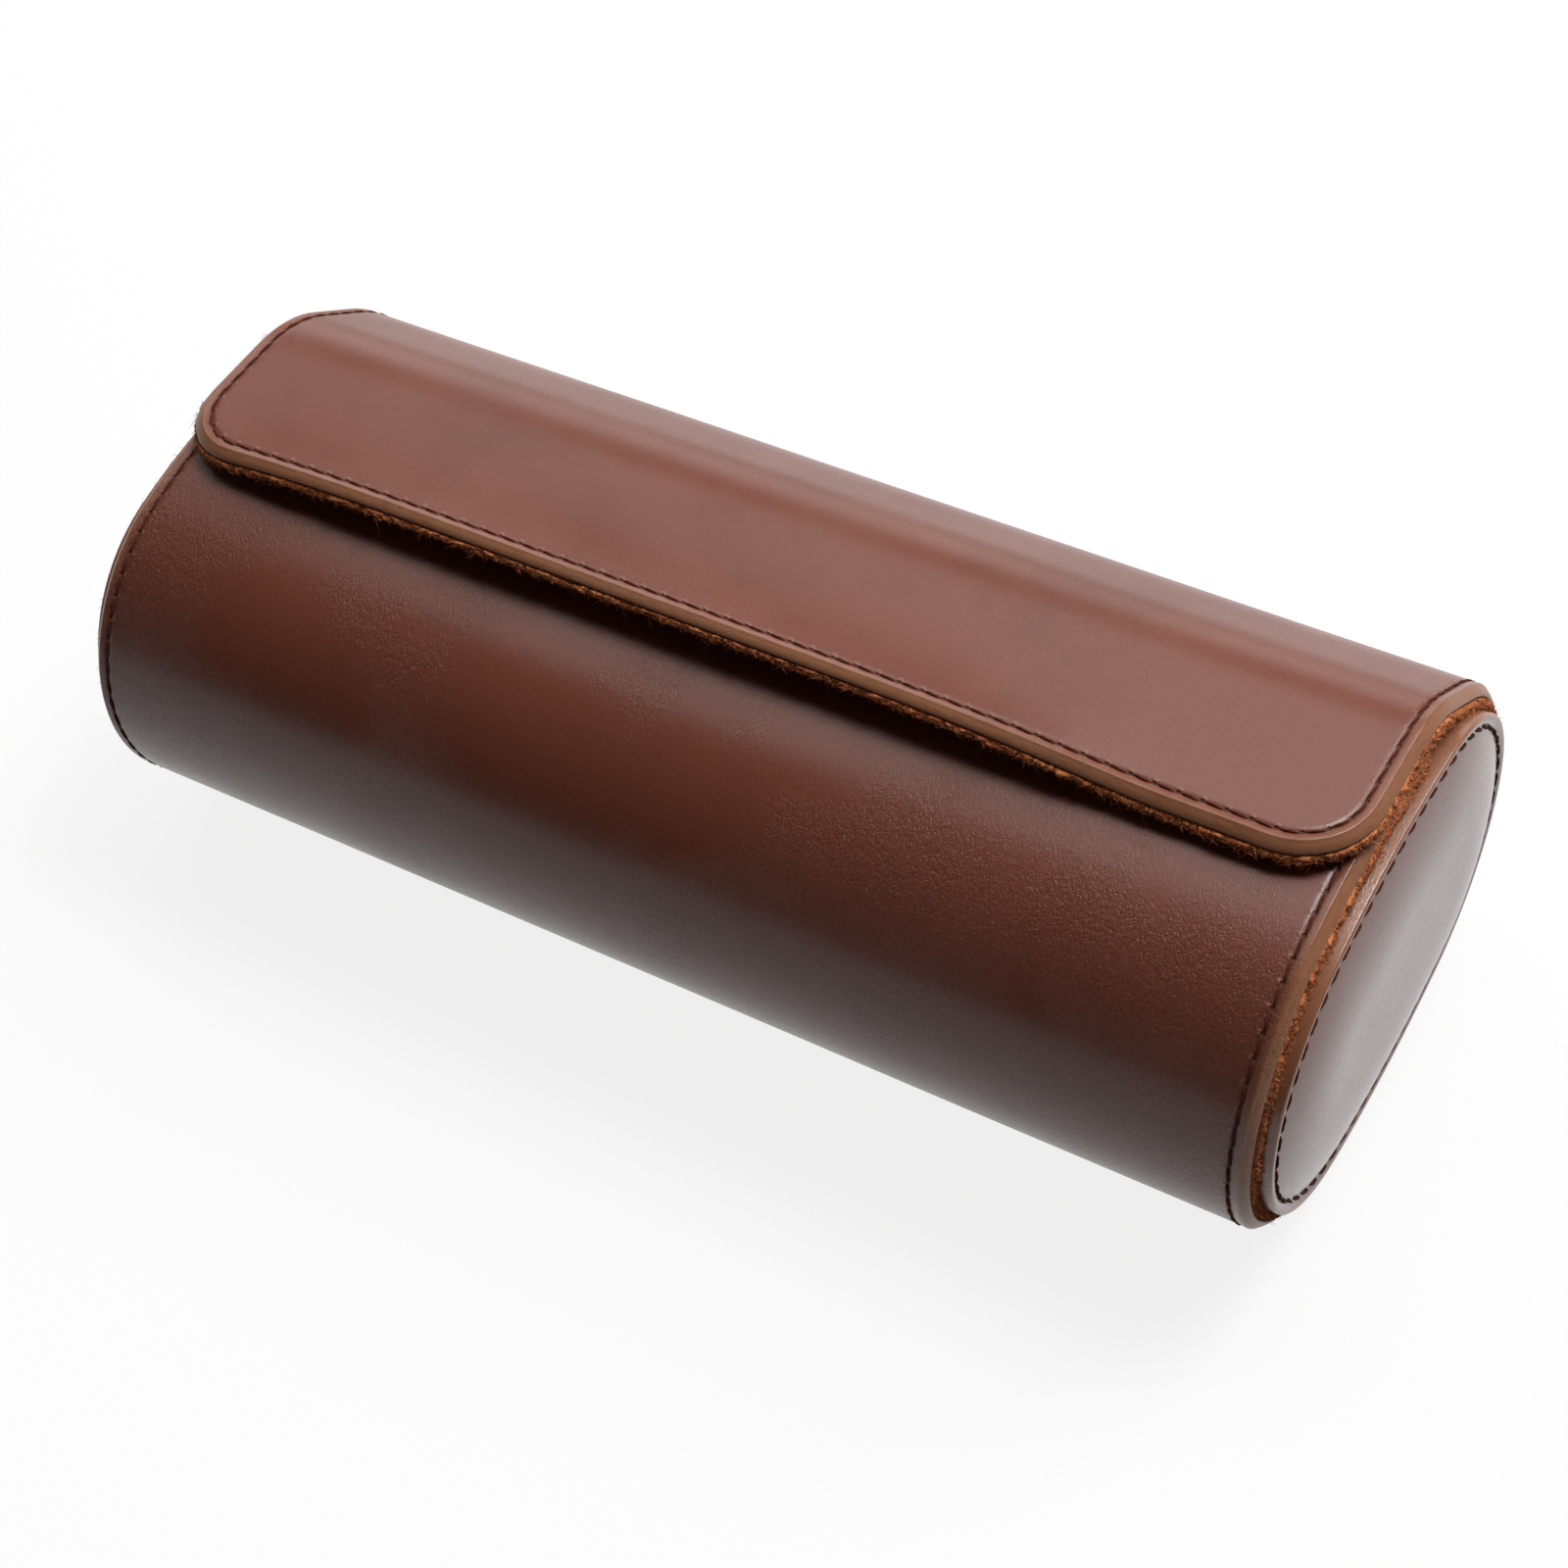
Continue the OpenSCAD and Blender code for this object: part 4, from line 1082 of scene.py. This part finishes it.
class ROLL_OT_end_panels(bpy.types.Operator):
    """Build the padded end panels with their foam, their suede and their stitches"""

    bl_idname = "roll.end_panels"
    bl_label = "End panels"

    def execute(self, context):
        sizes, stitch, ends = (getattr(context.scene, "roll_" + n) for n in ("sizes", "stitch", "ends"))
        oval = Oval(sizes)
        rim_x = sizes.wrap_l / 2 + ends.rim_h
        suede_x = sizes.wrap_l / 2 - ends.depth
        board_x = suede_x + ends.lining_t
        groove = ends.inset + ends.rim_w
        round_over = [(ends.inset + ends.rim_r * (1 - math.cos(a)), rim_x - ends.rim_r * (1 - math.sin(a)))
                      for a in np.linspace(0, math.pi / 2, 7)]
        bell = [(groove + d * MM, rim_x - ends.groove * math.exp(-(d / 0.9) ** 2))
                for d in (-1.7, -1.3, -1.0, -0.75, -0.5, -0.25)]
        outer = [(ends.inset, board_x), (ends.inset, board_x + 2 * MM)] + round_over + bell
        outer.append((groove, rim_x - ends.groove))
        inner_e = ends.inset + ends.cover_t
        brow_x = rim_x - 1.5 * MM - ends.cover_t
        inner = [(inner_e, board_x), (inner_e, brow_x - 0.4 * MM), (inner_e + 0.4 * MM, brow_x)]
        for name, side in SIDES.items():
            cover = dome_piece("end_panel_" + name, oval, ends, sizes, material("stretched_leather"), side,
                               outer, inner)
            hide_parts("end_cover_" + name)
            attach(cover, "case")
            foam_e = inner_e + 0.2 * MM
            drop = ends.cover_t + 0.25 * MM
            foam_profile = [(foam_e, board_x + ends.board_t), (foam_e, brow_x - 0.8 * MM)]
            foam_profile += [(e, float(crown_place(e, ends, sizes)) - drop)
                             for e in groove + ends.crown_run * np.linspace(0.15, 1, 9) ** 1.6]
            foam = oval_stack("end_foam_" + name, oval, foam_profile, material("open_foam"), side)
            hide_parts("end_pad_" + name)
            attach(foam, "case")
            r = 0.35 * MM
            disc = [(ends.inset + 1.4 * r, board_x), (ends.inset, board_x - r), (ends.inset, suede_x + r),
                    (ends.inset + 0.3 * r, suede_x + 0.3 * r), (ends.inset + r, suede_x),
                    (ends.inset + 6 * MM, suede_x)]
            lining = oval_stack("end_suede_" + name, oval, disc, material("tan_suede"), side)
            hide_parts("end_lining_" + name)
            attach(lining, "case")
            sewn = self.sew(oval, ends, sizes, stitch, groove, side)
            thread = thread_piece("thread_end_" + name, sewn, material("waxed_thread"))
            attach(thread, "case")
        return {"FINISHED"}

    def sew(self, oval, ends, sizes, stitch, groove, side):
        """Stitches round the groove: a closed row of whole stitches, each line laid along the oval."""
        loop = oval.ring(groove, 200, 88)
        loop = np.concatenate([loop, loop[:1]])
        run = np.concatenate([[0.0], np.cumsum(np.hypot(*np.diff(loop, axis=0).T))])
        count = int(run[-1] / stitch.pitch)
        along, across, down = stitch_lines(count, stitch)
        along = along * (run[-1] / (count * stitch.pitch))
        y, z = (np.interp(along, run, loop[:, k]) for k in (0, 1))
        way_y, way_z = np.gradient(y, axis=1), np.gradient(z, axis=1)
        size = np.hypot(way_y, way_z)
        y, z = y + across * way_z / size, z - across * way_y / size
        x = sizes.wrap_l / 2 + ends.rim_h - ends.groove - down + 0.12 * MM
        centre = np.stack([x * side, y, z + oval.middle_z], -1)
        return stitch_tubes(centre, np.broadcast_to([float(side), 0, 0], centre.shape), along, stitch)


class ROLL_OT_dividers(bpy.types.Operator):
    """Build the suede dividers with a rounded, sewn top edge"""

    bl_idname = "roll.dividers"
    bl_label = "Dividers"

    def execute(self, context):
        sizes, stitch, inside = (getattr(context.scene, "roll_" + n) for n in ("sizes", "stitch", "inside"))
        oval = Oval(sizes)
        top = inside.divider_top - oval.middle_z
        half = inside.divider_t / 2
        for name, side in SIDES.items():
            steps = [(share, -half, 0.0) for share in np.linspace(0.06, 0.94, 12)]
            steps += [(1.0, -half * math.cos(a), half * (1 - math.sin(a)))
                      for a in np.linspace(0, math.pi, 9)]
            steps += [(share, half, 0.0) for share in np.linspace(0.94, 0.06, 12)]
            points = np.stack([self.outline(oval, inside, top, side, *step) for step in steps])
            n = points.shape[1]
            caps = [range(n), range(n * (len(steps) - 1), n * len(steps))]
            piece = new_piece("divider_" + name, points, grid_faces(len(steps), n, True),
                              material("tan_suede"), None, caps)
            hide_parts("divider_suede_" + name)
            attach(piece, "case")
            rows = [self.sew(oval, inside, stitch, top, side, face) for face in (-1.0, 1.0)]
            thread = thread_piece("thread_divider_" + name, np.concatenate(rows), material("waxed_thread"))
            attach(thread, "case")
        return {"FINISHED"}

    def sew(self, oval, inside, stitch, top, side, face):
        """A level row of stitches below a divider's top edge, on the face that looks along face."""
        ring = oval.ring(inside.wall_gap)
        reach = np.abs(ring[ring[:, 1] >= top, 0]).max() - stitch.inset
        count = int(2 * reach / stitch.pitch)
        along, across, down = stitch_lines(count, stitch)
        x = side * inside.divider_x + face * (inside.divider_t / 2 - down)
        z = top - stitch.inset + across + oval.middle_z
        centre = np.stack([x, along - (count / 2 + 0.5) * stitch.pitch, z], -1)
        return stitch_tubes(centre, np.broadcast_to([face, 0, 0], centre.shape), along, stitch)

    def outline(self, oval, inside, top, side, share, x, drawn_in):
        """One ring of a divider: the oval at its inset with its top cut level, shrunk by a share about a
        middle point and drawn in all round by the rounding of the edge."""
        ring = oval.ring(inside.wall_gap + drawn_in)
        ring = np.column_stack([ring[:, 0], np.minimum(ring[:, 1], top - drawn_in)])
        middle = np.array([0.0, -8 * MM])
        ring = middle + (ring - middle) * share
        place = np.full(len(ring), side * inside.divider_x + x)
        return np.column_stack([place, ring[:, 0], ring[:, 1] + oval.middle_z])


class ROLL_OT_pillows(bpy.types.Operator):
    """Build the watch pillows with their foam cores"""

    bl_idname = "roll.pillows"
    bl_label = "Pillows"

    def execute(self, context):
        inside = context.scene.roll_inside
        for name in ("left", "centre", "right"):
            low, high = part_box("pillow_cover_" + name)
            place = np.array((low + high) / 2)
            cover = self.pillow("pillow_" + name, inside, place, 0.0, material("tan_suede"), 288,
                                inside.pucker)
            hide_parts("pillow_cover_" + name)
            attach(cover, "pillow_" + name)
            cord = self.piping("pillow_piping_" + name, inside, place, material("tan_suede"))
            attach(cord, "pillow_" + name)
            core = self.pillow("pillow_foam_" + name, inside, place, 1.6 * MM, material("open_foam"), 48)
            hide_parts("pillow_core_" + name)
            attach(core, "pillow_" + name)
        return {"FINISHED"}

    def section(self, inside, trim, around):
        """The squarish oval of a pillow's section, as cosine and sine each to a power below one."""
        a = np.linspace(0, 2 * math.pi, around, endpoint=False)
        u = np.sign(np.cos(a)) * np.abs(np.cos(a)) ** 0.8 * (inside.pillow_w / 2 - trim)
        v = np.sign(np.sin(a)) * np.abs(np.sin(a)) ** 0.8 * (inside.pillow_h / 2 - trim)
        return a, np.stack([u, v], -1)

    def pillow(self, name, inside, place, trim, finish, around, pucker=0.0):
        """A pillow as a function of the angle round it and the place along it: full in the middle, drawn in
        at the end seams, with domed ends that close in a point. Folds like a pleated sleeve, as the cosine
        of many turns with a wandering phase, run away from each seam and die out along it; slow sines dent
        the rest. The places crowd about the seams."""
        along = np.concatenate([np.linspace(0, 0.72, 22), np.linspace(0.74, 0.98, 40),
                                np.linspace(0.985, 1, 8)])
        t = np.concatenate([-along[:0:-1], along])[:, None]
        half = inside.pillow_l / 2 - trim
        body = np.clip(np.abs(t) / PILLOW_SEAM, 0, 1)
        over = np.clip((np.abs(t) - PILLOW_SEAM) / (1 - PILLOW_SEAM), 0, 1)
        x = np.sign(t) * (body * (half - inside.dome) + over * inside.dome * np.sin(over * math.pi / 2))
        share = (1 - inside.draw * body ** 3) * np.where(over > 0, np.cos(over * math.pi / 2) ** 0.8, 1.0)
        a, ring = self.section(inside, trim, around)
        seed = place[0] * 90 + np.sign(t)
        phase = 31 * a + 1.9 * np.sin(3 * a + seed) + 1.3 * np.sin(7 * a - seed)
        reach = 0.085 + 0.05 * np.sin(5 * a + 2 * seed)
        fold = np.cos(phase) * np.exp(-np.abs(np.abs(t) - PILLOW_SEAM) / reach)
        slow = np.sin(2.3 * t * 3 + 2 * a + seed) * np.sin(3 * a + 1.7 * t * 4 + 0.5) * (1 - body ** 4)
        dent = fold * (0.55 + 0.45 * np.sin(4 * a + seed)) + 0.5 * slow
        share = np.maximum(share * (1 + pucker * dent), 0.004)
        yz = share[..., None] * ring[None]
        points = np.concatenate([np.broadcast_to(x[..., None], share[..., None].shape), yz], -1) + place
        caps = [range(around), range(around * (len(t) - 1), around * len(t))]
        return new_piece(name, points, grid_faces(len(t), around, True), finish, None, caps)

    def piping(self, name, inside, place, finish):
        """The two corded seams of a pillow: round tubes laid round its section where the ends are sewn on."""
        around, sides = 192, 10
        ring = self.section(inside, 0.0, around)[1]
        ring = np.concatenate([ring, ring[:1]]) * (1 - inside.draw)
        out = ring / np.linalg.norm(ring, axis=1, keepdims=True)
        turn = np.linspace(0, 2 * math.pi, sides, endpoint=False)
        loops = []
        for end in (-1, 1):
            x = end * (inside.pillow_l / 2 - inside.dome) + inside.piping * np.sin(turn)
            yz = ring[:, None] + inside.piping * np.cos(turn)[None, :, None] * out[:, None]
            loops.append(np.concatenate([np.broadcast_to(x[None, :, None], (*yz.shape[:2], 1)), yz], -1))
        points = np.stack(loops) + place
        faces = grid_faces(around + 1, sides, True)
        return new_piece(name, points, np.concatenate([faces, faces + (around + 1) * sides]), finish)


class ROLL_OT_snaps(bpy.types.Operator):
    """Build the snap studs and sockets, turned from profiles of (radius, height) in millimetres"""

    bl_idname = "roll.snaps"
    bl_label = "Snaps"

    def execute(self, context):
        sizes, inside = context.scene.roll_sizes, context.scene.roll_inside
        oval = Oval(sizes)
        snap_x = sizes.wrap_l / 2 - inside.snap_inset
        panel_tilt = -math.asin(inside.snap_y / oval.crown_r)
        flap_z = (oval.flat_reach - inside.snap_y * math.cos(oval.flat)) / math.sin(oval.flat)
        stud = np.array([(5.2, -0.5), (5.2, 0.1), (5.05, 0.22), (3.4, 0.24), (2.4, 0.28), (2.0, 0.4),
                         (2.05, 0.6), (2.45, 0.8), (2.45, 0.95), (2.2, 1.12), (1.5, 1.19), (0.05, 1.2)]) * MM
        rivet = np.array([(1.4, -0.5), (1.4, -3.4), (5.2, -3.4), (5.2, -3.7), (5.0, -3.78),
                          (0.05, -3.8)]) * MM
        socket = np.array([(0.05, -2.3), (5.8, -2.3), (6.0, -2.5), (6.0, -3.6), (5.85, -3.76), (5.5, -3.8),
                           (5.0, -3.72), (4.5, -3.76), (4.2, -3.6), (4.2, -3.3), (4.5, -3.1), (4.5, -2.8),
                           (4.2, -2.62), (0.05, -2.62)]) * MM
        for name, side in SIDES.items():
            foot = (side * snap_x, inside.snap_y,
                    math.sqrt(oval.crown_r ** 2 - inside.snap_y ** 2) - oval.crown_z + oval.middle_z)
            head = (side * snap_x, inside.snap_y, flap_z + oval.middle_z)
            profile = np.concatenate([rivet[::-1], stud])
            piece = lathe("stud_" + name, profile, foot, panel_tilt, material("aged_brass"))
            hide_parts("snap_stud_" + name)
            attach(piece, "front_panel")
            cup = lathe("socket_" + name, socket, head, -sizes.rise, material("aged_brass"))
            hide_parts("snap_socket_" + name)
            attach(cup, "flap")
            for part in (piece, cup):
                soften_angles(part, 40)
        return {"FINISHED"}


class ROLL_OT_boards(bpy.types.Operator):
    """Give the boards their finish and build the flap's own board, bowed like the flap"""

    bl_idname = "roll.boards"
    bl_label = "Boards"

    def execute(self, context):
        for name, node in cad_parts.items():
            if "board" in name:
                node.data.materials.clear()
                node.data.materials.append(material("fibre_board"))
        sizes = context.scene.roll_sizes
        path = Path(Oval(sizes), False, sizes)
        low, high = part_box("flap_board")
        flat = path.arcs[-1]
        ends = [path.end - flat.run + (flat.y - y) / math.sin(flat.start) for y in (high.y, low.y)]
        across, rings = 16, 80
        around = 2 * across
        s = np.linspace(*ends, across)
        s = np.concatenate([s, s[::-1]])[None, :]
        depth = sizes.leather_t + np.repeat([0.0, sizes.flap_board_t], across)[None, :]
        x = np.linspace(low.x, high.x, rings)[:, None]
        points = path.place(x, s, depth - wave(x, s, sizes))
        caps = [range(around), range((rings - 1) * around, rings * around)]
        board = new_piece("board_flap", points, grid_faces(rings, around, True), material("fibre_board"),
                          None, caps)
        soften_angles(board, 40)
        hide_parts("flap_board")
        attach(board, "flap")
        return {"FINISHED"}


class ROLL_OT_stage(bpy.types.Operator):
    """Set the floor, the soft light and the camera"""

    bl_idname = "roll.stage"
    bl_label = "Stage"

    def execute(self, context):
        scene = context.scene
        stage, colours = scene.roll_stage, scene.roll_colours
        scene.view_settings.view_transform = "Standard"
        self.floor(colours)
        self.world(scene)
        for name, settings in LAMPS.items():
            self.lamp(name, *settings)
        data = bpy.data.cameras.new("camera")
        data.lens, data.sensor_width = stage.lens, 36.0
        camera = bpy.data.objects.new("camera", data)
        scene.collection.objects.link(camera)
        az, el, roll = stage.azimuth, stage.elevation, stage.roll
        back = np.array([math.sin(az) * math.cos(el), -math.cos(az) * math.cos(el), math.sin(el)])
        right = np.array([math.cos(az), math.sin(az), 0.0])
        up = np.cross(back, right)
        columns = [right * math.cos(roll) + up * math.sin(roll),
                   up * math.cos(roll) - right * math.sin(roll), back]
        turned = np.eye(4)
        turned[:3, :3] = np.array(columns).T
        turned[:3, 3] = stage.camera_place
        camera.matrix_world = Matrix(turned.tolist())
        scene.camera = camera
        return {"FINISHED"}

    def floor(self, colours):
        """A wide pale floor on which the roll stands; behind it the floor grows dimmer in reflections."""
        half, grey, white_share, reflected_share, fade = 6.0, (0.25, 0.25, 0.25), 0.85, 0.42, 0.34
        mesh = bpy.data.meshes.new("floor")
        corners = [(-half, -half, 0), (half, -half, 0), (half, half, 0), (-half, half, 0)]
        mesh.from_pydata(corners, [], [(0, 1, 2, 3)])
        net = Net("floor")
        camera_ray = net.node("ShaderNodeLightPath")
        glossy_ray = net.node("ShaderNodeLightPath", output=3)
        net.finish(base_color=net.mix(camera_ray, grey, colours.floor), roughness=0.8,
                   specular_ior_level=0.1)
        shown = net.mix(camera_ray, (1.0, 1.0, 1.0), (0.5, 0.5, 0.5))
        white = net.node("ShaderNodeEmission", None, {"Color": shown, "Strength": 2.0})
        output = next(n for n in net.tree.nodes if n.bl_idname == "ShaderNodeOutputMaterial")
        far = net.step(net.axis(net.place(), 1), 0.06, 0.4)
        lit = Value(net, net.shader.outputs[0])
        share = camera_ray * white_share + glossy_ray * (reflected_share - fade * far)
        net.plug(output.inputs[0], net.node("ShaderNodeMixShader", None, {0: share, 1: lit, 2: white}))
        mesh.materials.append(net.material)
        floor = bpy.data.objects.new("floor", mesh)
        bpy.context.scene.collection.objects.link(floor)

    def world(self, scene):
        """A white background for the camera, a weak even light for the rest, next to none in reflections."""
        world = bpy.data.worlds.new("studio")
        world.use_nodes = True
        tree = world.node_tree
        tree.nodes.clear()
        rays = tree.nodes.new("ShaderNodeLightPath")
        shown = self.backdrop(tree, 0.05)
        for ray, strength in (("Is Glossy Ray", 0.012), ("Is Camera Ray", 1.0)):
            mixed = tree.nodes.new("ShaderNodeMixShader")
            tree.links.new(rays.outputs[ray], mixed.inputs[0])
            tree.links.new(shown, mixed.inputs[1])
            tree.links.new(self.backdrop(tree, strength), mixed.inputs[2])
            shown = mixed.outputs[0]
        tree.links.new(shown, tree.nodes.new("ShaderNodeOutputWorld").inputs[0])
        scene.world = world

    def backdrop(self, tree, strength):
        """A white background of a strength, as the output of its node."""
        node = tree.nodes.new("ShaderNodeBackground")
        node.inputs[0].default_value = (1, 1, 1, 1)
        node.inputs[1].default_value = strength
        return node.outputs[0]

    def lamp(self, name, place, width, depth, power):
        """A soft panel light at a place, facing the roll."""
        data = bpy.data.lights.new(name, "AREA")
        data.shape, data.size, data.size_y, data.energy = "RECTANGLE", width, depth, power
        lamp = bpy.data.objects.new(name, data)
        bpy.context.scene.collection.objects.link(lamp)
        way = np.array(place) - np.array(LAMP_TARGET)
        way = way / np.linalg.norm(way)
        right = np.cross([0, 0, 1.0], way)
        right = right / np.linalg.norm(right)
        turned = np.eye(4)
        turned[:3, 0], turned[:3, 1], turned[:3, 2], turned[:3, 3] = right, np.cross(way, right), way, place
        lamp.matrix_world = Matrix(turned.tolist())


class ROLL_PT_panel(bpy.types.Panel):
    """Lists the steps that build the watch roll"""

    bl_idname = "ROLL_PT_panel"
    bl_label = "Watch Roll"
    bl_space_type = "VIEW_3D"
    bl_region_type = "UI"
    bl_category = "Watch Roll"

    def draw(self, context):
        for step in STEPS:
            self.layout.operator(step.bl_idname)


GROUPS = {"sizes": RollSizes, "stitch": StitchSizes, "ends": EndSizes, "inside": InsideSizes,
          "colours": RollColours, "stage": StageSettings}
STEPS = (ROLL_OT_finishes, ROLL_OT_leather, ROLL_OT_lining, ROLL_OT_stitching, ROLL_OT_end_panels,
         ROLL_OT_dividers, ROLL_OT_pillows, ROLL_OT_snaps, ROLL_OT_boards, ROLL_OT_stage)


def register():
    for made in (*GROUPS.values(), *STEPS, ROLL_PT_panel):
        bpy.utils.register_class(made)
    for name, group in GROUPS.items():
        setattr(bpy.types.Scene, "roll_" + name, bpy.props.PointerProperty(type=group))


def unregister():
    for name in GROUPS:
        delattr(bpy.types.Scene, "roll_" + name)
    for made in (ROLL_PT_panel, *STEPS[::-1], *list(GROUPS.values())[::-1]):
        bpy.utils.unregister_class(made)


def main():
    register()
    for step in STEPS:
        group, name = step.bl_idname.split(".")
        getattr(getattr(bpy.ops, group), name)()


if __name__ == "__main__":
    main()
